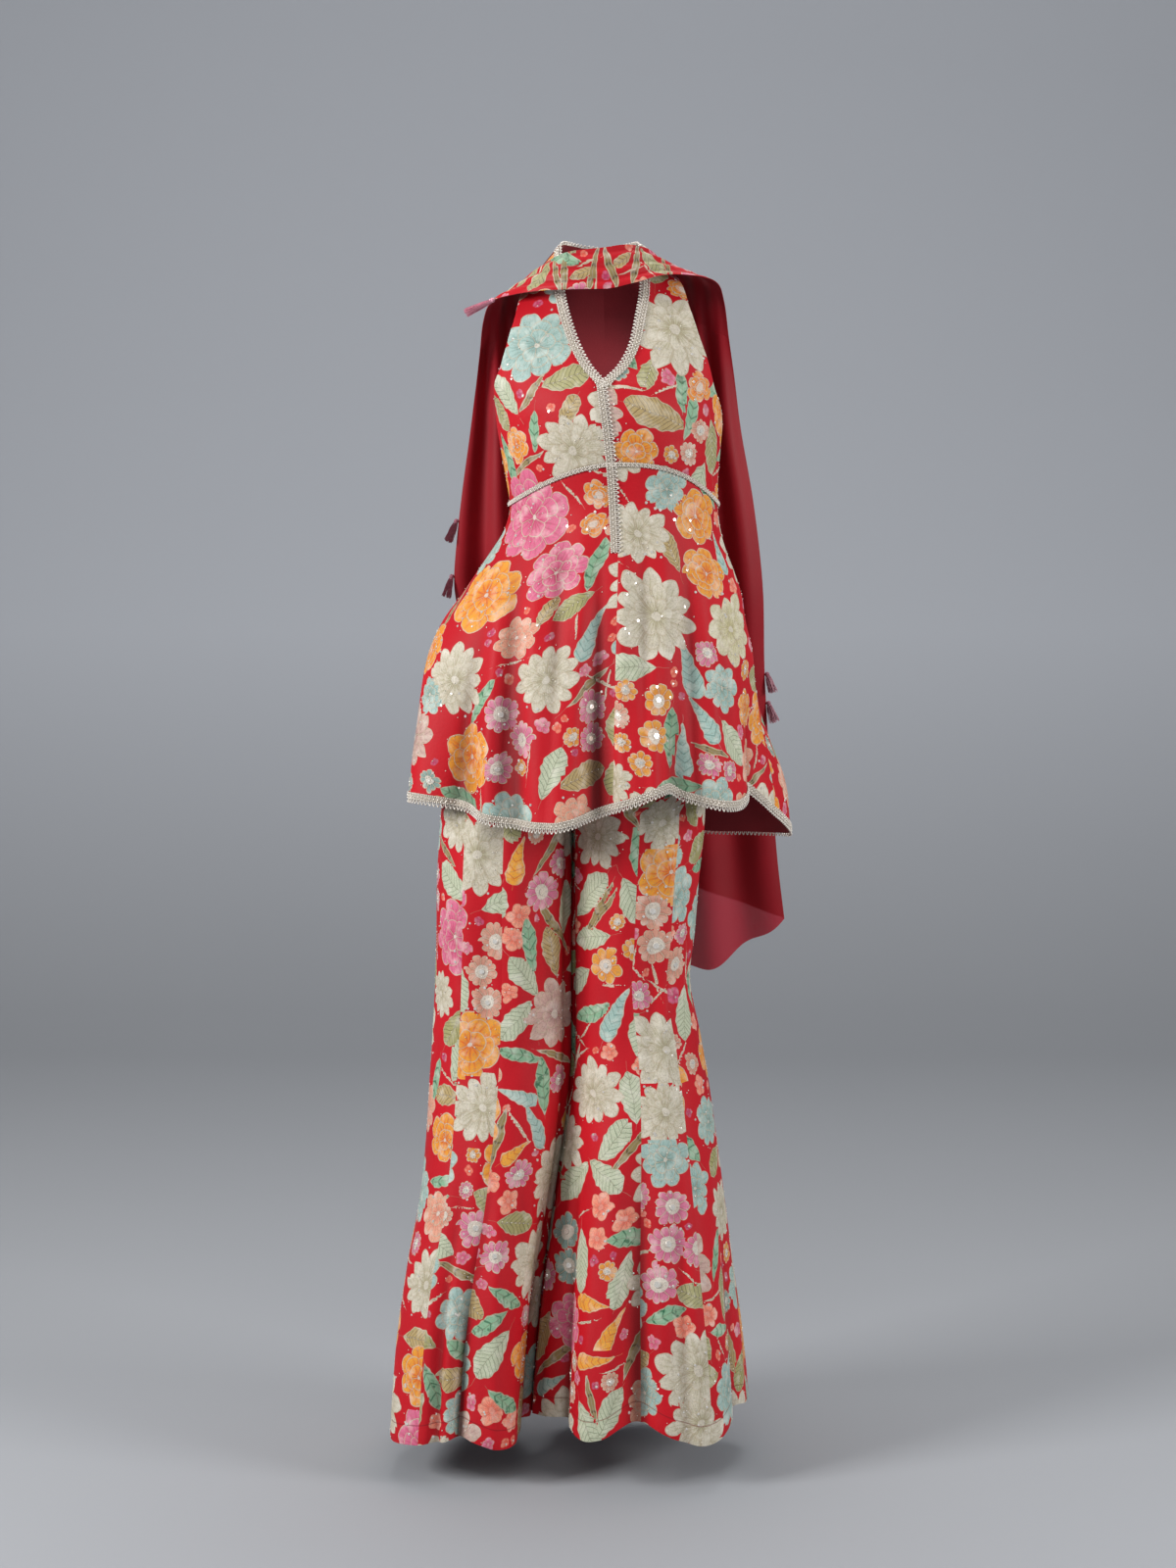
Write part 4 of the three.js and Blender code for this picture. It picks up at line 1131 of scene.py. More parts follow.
def metal_thread(name, tone, deep, roughness, metallic):
    """Silver thread, beads and sequins."""
    paint = Paint(name)
    where = paint.object_point()
    grain = paint.noise(where, 700.0, 1.0)
    base = paint.blend(colour(tone), colour(deep), (grain * 2.4 - 0.8).clamped())
    return paint.finish(base, grain * 0.2 + roughness, paint.bump(grain, 0.3, 0.0004), Metallic=metallic)


def silk(name, tone, deep):
    """Silk strands."""
    paint = Paint(name)
    where = paint.object_point()
    strands = paint.noise(where, 480.0, 1.0)
    base = paint.blend(colour(tone), colour(deep), (strands * 2 - 0.6).clamped())
    return paint.finish(base, 0.42 + strands * 0.2, None, Sheen_Weight=0.2)


FLORAL = floral_material("floral_print", 0.62, 0.35)
CHIFFON_PRINT = floral_material("chiffon_print", 0.55, 0.2)
REVERSE = plain_cloth("cloth_reverse", "#8A1522", "#6E0C18", 0.8, 420.0, 0.4, Sheen_Weight=0.1)
BAND_RED = plain_cloth("waistband_cloth", "#A80C1E", "#8C0718", 0.7, 420.0, 0.4, Sheen_Weight=0.1)
CHIFFON_RED = chiffon_material("chiffon")
LACE_SILVER = metal_thread("silver_lace", "#B5AA9A", "#82786C", 0.5, 0.15)
LACE_BEAD = metal_thread("lace_bead", "#EBE4DA", "#BBB2A6", 0.3, 0.25)
BEAD = metal_thread("silver_bead", "#E4DED2", "#BDB5A6", 0.25, 0.3)
SEQUIN = metal_thread("sequin", "#F0ECE6", "#D8D2C6", 0.15, 0.55)
TASSEL_PINK = silk("tassel_pink", "#E8A9B8", "#C8748C")
# The same pink silk painted darker, as painted shade, for the tassels that hang on the falls
TASSEL_PINK_IN_SHADE = silk("tassel_pink_in_shade", "#9A5364", "#6B3040")


# Motifs: each kind's layer, sizes, finish and two colours

KINDS = {
    # kind: layer, form (radius or half length, petals or half width, round or club),
    # trim (thread, streaks or veins, heart or spots), main and second colour
    "chrysanthemum": ("bloom", (48, 11, 0.35), (0.75, 0.55, 0.1), "#D3CABA", "#A49C7C"),
    "cream_right": ("bloom", (42, 9, 0.3), (0.75, 0.55, 0.1), "#D2CAB0", "#ADA474"),
    "mauve": ("bloom", (42, 9, 0.35), (0.75, 0.6, 0.1), "#CDAE9F", "#A07A78"),
    "gold": ("bloom", (38, 6, 0.85), (0.85, 0.75, 0.06), "#E6A233", "#D0601C"),
    "small_gold": ("bloom", (15, 6, 0.8), (0.85, 0.6, 0.25), "#E29A38", "#CC5A22"),
    "peony": ("bloom", (44, 8, 0.9), (0.85, 0.7, 0.05), "#DC7393", "#B93A63"),
    "mint_bloom": ("bloom", (34, 8, 0.6), (0.8, 0.7, 0.06), "#A9C2BB", "#7A9891"),
    "peach_bloom": ("bloom", (30, 8, 0.6), (0.8, 0.7, 0.08), "#E0A58A", "#CC7B66"),
    "pink_daisy": ("bloom", (19, 11, 0.95), (0.95, 0.35, 0.36), "#D9819B", "#B9557B"),
    "peach_daisy": ("bloom", (18, 11, 0.95), (0.95, 0.35, 0.36), "#D9A38C", "#BF7E6C"),
    "gold_daisy": ("bloom", (16, 8, 0.9), (0.9, 0.4, 0.36), "#DFA23C", "#CC7428"),
    "mint_daisy": ("bloom", (18, 10, 0.95), (0.95, 0.35, 0.36), "#93ABA3", "#6F8C86"),
    "star": ("small", (15, 5, 0.35), (0.25, 0.5, 0.18), "#EDA98E", "#DE6A55"),
    "pink_star": ("small", (12, 5, 0.4), (0.3, 0.5, 0.18), "#E08BA4", "#C94972"),
    "speck_pink": ("small", (8, 4, 0.7), (0.0, 0.6, 0.2), "#D96C8C", "#B93560"),
    "speck_coral": ("small", (8, 4, 0.7), (0.0, 0.6, 0.2), "#EC9A80", "#DB5B48"),
    "tan_leaf": ("leaf", (32, 14, 0), (0.6, 0.95, 0), "#B29A68", "#5C4626"),
    "khaki_leaf": ("leaf", (30, 14, 0), (0.6, 0.9, 0), "#A5A072", "#5B5A38"),
    "olive_leaf": ("leaf", (26, 14, 0), (0.6, 0.9, 0), "#9F9A66", "#5E5C34"),
    "sage_leaf": ("leaf", (32, 15, 0), (0.45, 0.85, 0), "#B9BFA4", "#74826A"),
    "green_leaf": ("leaf", (30, 9, 0), (0.5, 0.4, 0.8), "#84AD8C", "#2C6647"),
    "brown_blade": ("leaf", (40, 5.5, 0), (0.8, 0.3, 0), "#8E7C4C", "#4E3F22"),
    "twig": ("leaf", (26, 2.2, 0), (1.0, 0.0, 0), "#C9BDA6", "#A89A80"),
    "mint_trumpet": ("leaf", (32, 13, 1), (0.7, 0.55, 0.3), "#9DB9B0", "#6C8D86"),
    "gold_trumpet": ("leaf", (28, 12, 1), (0.7, 0.55, 0.3), "#E09A35", "#C8641F"),
}
LAYERS = ("bloom", "leaf", "small")
ROWS_STAMPED = ("place", "form", "trim", "tint", "shade")  # what each face is told of its motif
STAMP_REACH = 1.5  # how far out, in sizes of a motif, faces are told of it
DISC_SHARE = 0.92  # a flower's disc, against its radius
LEAF_DISCS_AT = 0.55  # where a leaf's outer discs lie, against its half length
LEAF_ROOM = 1.15  # how much wider than itself a leaf counts there

# Motifs listed for the front: kind, mm across, mm up, radius or half length, degrees
FRONT_MOTIFS = [
    ("mint_bloom", -75, -115, 44, 0),
    ("chrysanthemum", 95, -95, 50, 20),
    ("small_gold", 105, -42, 17, 0),
    ("khaki_leaf", -40, -155, 27, 20),
    ("tan_leaf", -35, -197, 20, 60),
    ("brown_blade", -85, -175, 29, 50),
    ("green_leaf", -80, -222, 22, 80),
    ("gold", -102, -232, 20, 0),
    ("chrysanthemum", -30, -242, 40, 0),
    ("tan_leaf", 72, -200, 36, 20),
    ("khaki_leaf", 60, -150, 20, -60),
    ("gold", 45, -244, 26, 30),
    ("peach_daisy", 128, -218, 14, 0),
    ("peach_daisy", 112, -245, 13, 0),
    ("small_gold", 125, -165, 18, 0),
    ("peony", -80, -325, 46, 0),
    ("peony", -52, -392, 34, 50),
    ("gold", -138, -418, 46, 0),
    ("small_gold", 0, -296, 16, 0),
    ("small_gold", -6, -332, 16, 30),
    ("chrysanthemum", 50, -345, 34, 10),
    ("chrysanthemum", 70, -445, 48, 0),
    ("mint_bloom", 85, -288, 24, 0),
    ("gold", 122, -325, 32, 0),
    ("gold", 135, -392, 28, 40),
    ("tan_leaf", 90, -365, 24, 80),
    ("cream_right", 165, -460, 38, 0),
    ("chrysanthemum", -175, -525, 40, 0),
    ("gold", -155, -620, 40, 0),
    ("pink_daisy", -118, -563, 20, 0),
    ("pink_daisy", -92, -596, 18, 0),
    ("pink_daisy", -122, -630, 17, 0),
    ("chrysanthemum", -62, -520, 36, 0),
    ("pink_daisy", -10, -553, 18, 0),
    ("pink_daisy", -8, -592, 17, 0),
    ("mint_trumpet", -10, -465, 31, 80),
    ("mint_trumpet", 112, -505, 34, 80),
    ("mint_trumpet", 130, -572, 28, 60),
    ("mint_trumpet", 104, -612, 30, 95),
    ("gold_daisy", 72, -548, 17, 0),
    ("gold_daisy", 72, -588, 18, 0),
    ("peach_bloom", 185, -632, 27, 0),
    ("gold", 182, -560, 22, 0),
    ("olive_leaf", 62, -645, 24, 20),
    ("chrysanthemum", 18, -645, 24, 0),
    ("tan_leaf", -60, -440, 18, 80),
    ("mint_bloom", -208, -545, 22, 0),
    ("chrysanthemum", -150, -742, 42, 0),
    ("chrysanthemum", 0, -722, 38, 0),
    ("chrysanthemum", 82, -700, 34, 0),
    ("gold_trumpet", -98, -748, 26, 100),
    ("pink_daisy", -70, -792, 22, 0),
    ("pink_daisy", -48, -755, 17, 0),
    ("gold", 92, -764, 36, 0),
    ("peach_daisy", 68, -812, 21, 0),
    ("peach_daisy", 72, -856, 21, 0),
    ("peach_daisy", 97, -886, 19, 0),
    ("star", -98, -818, 17, 0),
    ("star", -106, -848, 15, 0),
    ("peach_daisy", -130, -852, 18, 0),
    ("peach_daisy", -146, -890, 18, 0),
    ("peach_daisy", -138, -930, 18, 0),
    ("sage_leaf", -92, -893, 27, 50),
    ("sage_leaf", -102, -952, 27, -50),
    ("brown_blade", -52, -840, 38, 50),
    ("brown_blade", 0, -815, 38, 60),
    ("gold_daisy", 10, -882, 19, 0),
    ("mauve", -55, -945, 40, 0),
    ("gold", -162, -985, 38, 0),
    ("chrysanthemum", -198, -925, 26, 0),
    ("mint_trumpet", 22, -942, 32, 60),
    ("speck_pink", 95, -925, 12, 0),
    ("chrysanthemum", 86, -992, 46, 0),
    ("chrysanthemum", 84, -1062, 38, 40),
    ("mint_trumpet", -100, -1045, 25, 20),
    ("mint_trumpet", -78, -1085, 28, 60),
    ("chrysanthemum", -145, -1062, 40, 0),
    ("tan_leaf", -192, -1050, 24, 0),
    ("chrysanthemum", -5, -1045, 36, 0),
    ("gold", -192, -1102, 27, 0),
    ("sage_leaf", 18, -1100, 27, 60),
    ("sage_leaf", 6, -1145, 27, -30),
    ("mint_bloom", 85, -1122, 30, 0),
    ("mint_bloom", 120, -1160, 28, 0),
    ("star", -138, -1150, 17, 0),
    ("star", -112, -1172, 15, 0),
    ("star", 5, -1184, 17, 0),
    ("star", 36, -1196, 17, 0),
    ("star", 0, -1220, 16, 0),
    ("pink_daisy", -152, -1208, 21, 0),
    ("pink_daisy", -128, -1242, 18, 0),
    ("pink_daisy", 92, -1182, 20, 0),
    ("pink_daisy", 88, -1228, 22, 0),
    ("pink_daisy", 126, -1236, 19, 0),
    ("pink_daisy", 76, -1275, 23, 0),
    ("mint_daisy", -38, -1225, 20, 0),
    ("mint_daisy", -36, -1268, 20, 0),
    ("chrysanthemum", -215, -1285, 40, 0),
    ("mint_bloom", -172, -1318, 29, 0),
    ("green_leaf", -138, -1325, 26, -30),
    ("gold_trumpet", -10, -1302, 25, 0),
    ("gold_trumpet", 20, -1334, 26, 60),
    ("gold_trumpet", -8, -1372, 25, 10),
    ("chrysanthemum", 125, -1385, 48, 0),
    ("chrysanthemum", 128, -1450, 38, 40),
    ("star", 140, -1318, 17, 0),
    ("star", 108, -1328, 15, 0),
    ("gold", -225, -1400, 34, 0),
    ("tan_leaf", -180, -1398, 26, 0),
    ("star", -135, -1432, 18, 0),
    ("star", -108, -1452, 15, 0),
    ("sage_leaf", -16, -1452, 27, -60),
    ("sage_leaf", 16, -1436, 29, 60),
    ("chrysanthemum", 158, -1205, 34, 0),
    ("brown_blade", -58, -1388, 38, 40),
    ("chrysanthemum", -78, -1322, 30, 0),
    ("khaki_leaf", 158, -1305, 29, 80),
]


class Motif:
    """One flower or leaf of the print, in mm on a piece's flat pattern."""

    def __init__(self, kind, x, y, size, degrees):
        layer, form, trim, main, second = KINDS[kind]
        self.kind, self.layer, self.x, self.y = kind, layer, x, y
        grown = size / form[0]
        self.form = (size, form[1] * grown if layer == "leaf" else form[1], form[2])
        self.trim, self.main, self.second = trim, colour(main), colour(second)
        self.angle = math.radians(degrees)

    def discs(self):
        """Discs that stand for its outline: centre and radius."""
        if self.layer != "leaf":
            return [(self.x, self.y, self.form[0] * DISC_SHARE)]
        c, s = math.cos(self.angle), math.sin(self.angle)
        reach = self.form[0] * LEAF_DISCS_AT
        return [(self.x + c * reach * k, self.y + s * reach * k, self.form[1]) for k in (-1, 0, 1)]

    def near(self, points):
        """How near each point is to the motif, 1 at its edge."""
        across, down = points[:, 0] - self.x, points[:, 1] - self.y
        if self.layer != "leaf":
            return np.hypot(across, down) / self.form[0]
        c, s = math.cos(self.angle), math.sin(self.angle)
        along, aside = across * c + down * s, down * c - across * s
        return np.hypot(along / self.form[0], aside / (self.form[1] * LEAF_ROOM))


BIG_KINDS = ["chrysanthemum"] * 5 + ["gold"] * 3 + ["mint_bloom"] * 2 + ["peony", "mauve", "peach_bloom"]
DAISIES = ["pink_daisy", "pink_daisy", "peach_daisy", "gold_daisy", "mint_daisy"]
LEAF_KINDS = ["tan_leaf", "khaki_leaf", "sage_leaf", "sage_leaf", "green_leaf", "olive_leaf"]
SLIM_KINDS = ["brown_blade", "mint_trumpet", "gold_trumpet", "green_leaf", "brown_blade"]
STARS = ["star", "star", "pink_star"]
SPECKS = ["speck_pink", "speck_coral"]
# The rounds in which free places are filled: kinds, tries, flowers in a cluster, room kept in mm, and sizes
ROUNDS = [
    (BIG_KINDS, 420, 1, -9, (1.0, 1.4)),
    (LEAF_KINDS, 500, 1, -9, (1.0, 1.3)),
    (DAISIES, 90, 4, -3, (0.85, 1.15)),
    (SLIM_KINDS, 300, 1, -4, (0.8, 1.1)),
    (STARS, 120, 4, -2, (0.8, 1.1)),
    (DAISIES, 250, 1, -3, (0.7, 1.0)),
    (["twig"], 260, 1, -1, (0.6, 1.1)),
    (SPECKS, 160, 5, 0.5, (0.7, 1.0)),
]
MARGIN = 30  # how far outside a piece a motif's middle may lie
CLUSTER_TURN, CLUSTER_APART = 2.4, 1.9  # from one flower of a cluster to the next: radians, and sizes out


def clear(motif, taken, spare):
    """True where the motif's discs keep clear of those taken."""
    for x, y, radius in motif.discs():
        if len(taken) and (np.hypot(taken[:, 0] - x, taken[:, 1] - y) - taken[:, 2] - radius).min() < spare:
            return False
    return True


def lay_out(cloth, placed, seed):
    """Fills a piece's flat pattern: the listed motifs first, then seeded ones wherever there is room."""
    chance = random.Random(seed)
    motifs = list(placed)
    taken = [disc for motif in motifs for disc in motif.discs()]
    low = cloth.flat.reshape(-1, 3).min(0) - MARGIN
    high = cloth.flat.reshape(-1, 3).max(0) + MARGIN

    for kinds, tries, family, spare, sizes in ROUNDS:
        for _ in range(tries):
            kind = chance.choice(kinds)
            x, y = chance.uniform(low[0], high[0]), chance.uniform(low[1], high[1])
            for member in range(family):
                size = KINDS[kind][1][0] * chance.uniform(*sizes)
                turn, away = member * CLUSTER_TURN, size * CLUSTER_APART * min(member, 1)
                at = x + away * math.cos(turn), y + away * math.sin(turn)
                motif = Motif(kind, *at, size, chance.uniform(0, 360))
                if clear(motif, np.array(taken), spare):
                    motifs.append(motif)
                    taken.extend(motif.discs())
    return motifs


def stamp(cloth, motifs):
    """Writes on each outer face what the print's layers need of the motif nearest to it."""
    mesh = cloth.obj.data
    count = len(mesh.polygons)
    centres = cloth.cell_flat
    for layer in LAYERS:
        group = [motif for motif in motifs if motif.layer == layer]
        sheets = {name: np.zeros((count, 3), np.float32) for name in ROWS_STAMPED}
        if group:
            near = np.stack([motif.near(centres) for motif in group])
            best = near.argmin(0)
            reached = (near.min(0) < STAMP_REACH)[:, None]
            facts = [((m.x, m.y, m.angle), m.form, m.trim, m.main[:3], m.second[:3]) for m in group]
            for name, values in zip(ROWS_STAMPED, zip(*facts)):
                sheets[name][: len(centres)] = np.where(reached, np.array(values, np.float32)[best], 0)
        for name, values in sheets.items():
            made = mesh.attributes.new(f"{layer}_{name}", "FLOAT_VECTOR", "FACE")
            made.data.foreach_set("vector", values.ravel())


# Sewn pieces

HAND_GROWN = {"bloom": 1.32, "leaf": 1.2, "small": 1.15}  # outlines lie outside the listed sizes
KURTI_DOWN_TO = -640  # listed motifs above this height belong to the kurti where it hides the legs
cloths = {}


def sew(name, surface, outside, face=None, outer=FLORAL, inner=REVERSE, slot="floral_cloth", **form):
    """Makes one sewn piece in place of its node."""
    cloth = Cloth(name + "_cloth", grid(surface), outside, face, **form)
    if "leg" not in name:
        cloth.flat[..., 2] = 0
    obj = cloth.build(outer, inner)
    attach(obj, "root")
    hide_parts(name)
    cloths[name] = cloth
    return cloth


for side, side_name in SIDES.items():
    for face, face_name in FACES.items():
        sew(f"bodice_{face_name}_{side_name}", bodice(side, face), (side * 0.7, face, 0), face)
        sew(f"skirt_{face_name}_{side_name}", skirt(side, face), (side * 0.7, face, 0), face)
        for panel in PANELS:
            outside = (side if panel == "outer" else 0, face, 0)
            sew(f"{side_name}_leg_{face_name}_{panel}", leg_panel(side, face, panel), outside, face)
sew("sharara_waistband", waistband, (0, 1, 0), outer=BAND_RED, closed=True)
for name in DUPATTA_PIECES:
    facing = -1 if name == "dupatta_neck" else 1
    outer = CHIFFON_PRINT if name == "dupatta_neck" else CHIFFON_RED
    form = {"thick": CHIFFON, "level": False, "sink": 0.3}
    sew(name, dupatta_stretch(name), (0, facing, 0), None, outer, CHIFFON_RED, "chiffon", **form)


def place_by_hand():
    """Shares the listed motifs out to the front pieces that they lie on."""
    placed = {name: [] for name in cloths}
    fronts = [name for name in cloths if "front" in name]
    for kind, x, z, size, degrees in FRONT_MOTIFS:
        best = None
        for name in fronts:
            points = cloths[name].points
            hidden = z > KURTI_DOWN_TO and "leg" in name
            away = np.hypot(points[..., 0] - x, points[..., 2] - z) + size * hidden
            spot = np.unravel_index(away.argmin(), away.shape)
            if best is None or away[spot] < best[0]:
                best = (away[spot], name, spot)
        across, down, _ = cloths[best[1]].flat[best[2]]
        placed[best[1]].append(Motif(kind, across, down, size * HAND_GROWN[KINDS[kind][0]], degrees))
    return placed


# The printed band across the front of the neck: kind, place along it, place across it, half length, degrees
NECK_BAND = [
    ("sage_leaf", 0.17, 0.4, 30, 60),
    ("khaki_leaf", 0.24, 0.62, 24, 30),
    ("khaki_leaf", 0.31, 0.45, 24, 12),
    ("brown_blade", 0.36, 0.5, 34, -25),
    ("brown_blade", 0.4, 0.5, 36, -8),
    ("tan_leaf", 0.45, 0.4, 17, 70),
    ("brown_blade", 0.48, 0.55, 34, 12),
    ("brown_blade", 0.52, 0.5, 34, -14),
    ("tan_leaf", 0.56, 0.62, 17, 60),
    ("brown_blade", 0.6, 0.5, 34, 22),
    ("khaki_leaf", 0.66, 0.45, 24, -20),
    ("brown_blade", 0.71, 0.5, 32, 25),
    ("pink_daisy", 0.78, 0.55, 18, 0),
    ("pink_daisy", 0.82, 0.35, 16, 0),
    ("peach_daisy", 0.86, 0.55, 17, 0),
    ("peach_daisy", 0.12, 0.6, 16, 0),
    ("pink_star", 0.09, 0.35, 12, 0),
    ("star", 0.9, 0.4, 13, 0),
]


def place_on_band(cloth):
    """The listed motifs of the neck band."""
    made = []
    for kind, along, across, size, degrees in NECK_BAND:
        spot = cloth.flat[round(along * cloth.rows), round(across * cloth.columns)]
        made.append(Motif(kind, spot[0], spot[1], size, degrees))
    return made


placed = place_by_hand()
placed["dupatta_neck"] = place_on_band(cloths["dupatta_neck"])
layouts = {}
for number, (name, cloth) in enumerate(cloths.items()):
    if "bodice" in name or "skirt" in name or "leg" in name or name == "dupatta_neck":
        layouts[name] = lay_out(cloth, placed[name], seed=number)
        stamp(cloth, layouts[name])


# Lace: a strip with beads and picots

LACE = 1.0  # thickness of the strip
LACE_OVER = 1.4  # its face over the cloth
PITCH = 5.2  # from picot to picot
WIDE_HALF, NARROW_HALF = 4.5, 3.0  # half widths of the two kinds
WIDE_LINES = (0, WIDE_HALF, 2 * WIDE_HALF)  # its outer edge, middle and inner edge, in from the cloth's edge
LACE_SINK = 0.2  # how far its cut edges roll in
DOME = 0.4  # how much higher the middle of a strip stands
EDGE_ROWS = 6  # rows of a piece's points that its lace is measured on


def read_rows(at, places, rows):
    """Rows of three numbers, read between their places."""
    return np.stack([np.interp(at, places, rows[:, k]) for k in range(3)], 1)


def inside(name, edge, distance, start, stop, count):
    """Points a distance in from a stretch of one edge of a piece, with the directions out of the cloth."""
    turned = {
        "top": lambda rows: rows,
        "hem": lambda rows: rows[::-1],
        "centre": lambda rows: rows.transpose(1, 0, 2),
    }[edge]
    points, normals = turned(cloths[name].points)[:EDGE_ROWS], turned(cloths[name].normals)[1]
    gone = np.concatenate([0 * points[:1, :, 0], np.linalg.norm(np.diff(points, axis=0), axis=2).cumsum(0)])
    beside = np.stack([read_rows([distance], gone[:, i], points[:, i])[0] for i in range(gone.shape[1])])
    at, places = np.linspace(start, stop, count) * (len(beside) - 1), np.arange(len(beside))
    return np.stack([read_rows(at, places, rows) for rows in (beside, normals)])


def lines_in(stretches, distances):
    """Lines along joined stretches of edges, one for each distance: points and directions out."""
    return [
        np.concatenate([inside(name, edge, distance, a, b, n) for name, edge, a, b, n in stretches], axis=1)
        for distance in distances
    ]


def resample(points, others, pitch):
    """Points at an even pitch along a line, with other rows read at the same places."""
    gone = np.concatenate([[0], np.linalg.norm(np.diff(points, axis=0), axis=1).cumsum()])
    at = np.arange(pitch / 2, gone[-1], pitch)
    return [read_rows(at, gone, rows) for rows in (points, *others)]


def tube(path, radii, sides, across):
    """The corners and cells of a tube along a path, closed at both ends."""
    path = np.array(path, float)
    ahead = np.gradient(path, axis=0)
    ahead /= np.linalg.norm(ahead, axis=1, keepdims=True)
    one = np.cross(ahead, across)
    one /= np.linalg.norm(one, axis=1, keepdims=True)
    two = np.cross(ahead, one)
    turns = np.arange(sides) * TURN / sides
    corners = [
        centre + radius * (math.cos(turn) * a + math.sin(turn) * b)
        for centre, radius, a, b in zip(path, radii, one, two)
        for turn in turns
    ]
    cells = [
        (k * sides + i, k * sides + (i + 1) % sides, (k + 1) * sides + (i + 1) % sides, (k + 1) * sides + i)
        for k in range(len(path) - 1)
        for i in range(sides)
    ]
    last = (len(path) - 1) * sides
    return corners, cells + [tuple(range(sides))[::-1], tuple(last + i for i in range(sides))]


def ball(centre, radius, squash=1.0):
    """The corners and cells of a small bead."""
    mesh = bmesh.new()
    bmesh.ops.create_icosphere(mesh, subdivisions=1, radius=radius)
    corners = [np.array(v.co) * (1, 1, squash) + centre for v in mesh.verts]
    cells = [tuple(v.index for v in face.verts) for face in mesh.faces]
    mesh.free()
    return corners, cells


def join_parts(name, parts):
    """One object from several lists of corners and cells."""
    corners, cells = [], []
    for more_corners, more_cells in parts:
        cells += [tuple(len(corners) + corner for corner in cell) for cell in more_cells]
        corners += list(more_corners)
    return mesh_object(name, corners, cells)


def repeat_tree():
    """A tree that sets a unit on each point, its Z out of the cloth and its Y along the point's direction."""
    tree = bpy.data.node_groups.new("set_units", "GeometryNodeTree")
    for name, kind in (("Geometry", "Geometry"), ("Unit", "Object"), ("Material", "Material")):
        tree.interface.new_socket(name, in_out="INPUT", socket_type="NodeSocket" + kind)
    tree.interface.new_socket("Geometry", in_out="OUTPUT", socket_type="NodeSocketGeometry")

    def add(kind, settings, **inputs):
        """Adds a node: its settings first, then values or links for its sockets."""
        node = tree.nodes.new(kind)
        for key, value in settings.items():
            setattr(node, key, value)
        for key, value in inputs.items():
            socket = node.inputs[key.replace("_", " ")]
            if isinstance(value, bpy.types.NodeSocket):
                tree.links.new(value, socket)
            else:
                socket.default_value = value
        return node

    given = add("NodeGroupInput", {}).outputs
    out = add("GeometryNodeInputNamedAttribute", {"data_type": "FLOAT_VECTOR"}, Name="out").outputs[0]
    aim = add("GeometryNodeInputNamedAttribute", {"data_type": "FLOAT_VECTOR"}, Name="aim").outputs[0]
    size = add("GeometryNodeInputNamedAttribute", {"data_type": "FLOAT"}, Name="size").outputs[0]
    axes = {"primary_axis": "Z", "secondary_axis": "Y"}
    turned = add("FunctionNodeAxesToRotation", axes, Primary_Axis=out, Secondary_Axis=aim).outputs[0]
    unit = add("GeometryNodeObjectInfo", {}, Object=given["Unit"]).outputs["Geometry"]
    placed = {"Points": given["Geometry"], "Instance": unit, "Rotation": turned, "Scale": size}
    copies = add("GeometryNodeInstanceOnPoints", {}, **placed).outputs[0]
    whole = add("GeometryNodeRealizeInstances", {}, Geometry=copies).outputs[0]
    painted = add("GeometryNodeSetMaterial", {}, Geometry=whole, Material=given["Material"]).outputs[0]
    tree.links.new(painted, add("NodeGroupOutput", {}).inputs[0])
    return tree


SET_UNITS = repeat_tree()


def set_units(name, unit, points, out, aim, sizes, material):
    """Copies of a unit on points, made into one plain mesh."""
    mesh = bpy.data.meshes.new(name)
    mesh.from_pydata((np.array(points) * MM).tolist(), [], [])
    for key, values in (("out", out), ("aim", aim)):
        made = mesh.attributes.new(key, "FLOAT_VECTOR", "POINT")
        made.data.foreach_set("vector", np.array(values, np.float32).ravel())
    made = mesh.attributes.new("size", "FLOAT", "POINT")
    made.data.foreach_set("value", np.array(sizes, np.float32))
    obj = bpy.data.objects.new(name, mesh)
    bpy.context.scene.collection.objects.link(obj)
    modifier = obj.modifiers.new("units", "NODES")
    modifier.node_group = SET_UNITS
    names = {item.name: item.identifier for item in SET_UNITS.interface.items_tree if item.in_out == "INPUT"}
    modifier[names["Unit"]] = unit
    modifier[names["Material"]] = material
    graph = bpy.context.evaluated_depsgraph_get()
    plain = bpy.data.meshes.new_from_object(obj.evaluated_get(graph))
    obj.modifiers.clear()
    obj.data = plain
    plain.polygons.foreach_set("use_smooth", np.full(len(plain.polygons), True))
    return obj


EDGE_BEAD, EDGE_BEAD_IN, EDGE_BEAD_UP = 1.15, 1.2, 0.1  # radius, and how far in and over the strip it sits
MIDDLE_BEAD, MIDDLE_BEAD_UP = 1.3, 0.3
ZIGZAG_SHARE, ZIGZAG_THREAD = 0.5, 0.5
PICOT_HALF, PICOT_LONG, PICOT_UP = 1.5, 3.4, 0.9  # the loop's half width and length, and its height
PICOT_THREAD, PICOT_STEPS = 0.9, 6
PICOT_BEAD, PICOT_BEAD_AT = 1.5, 3.7
THREAD_SIDES = 3
UP = (0, 0, 1)


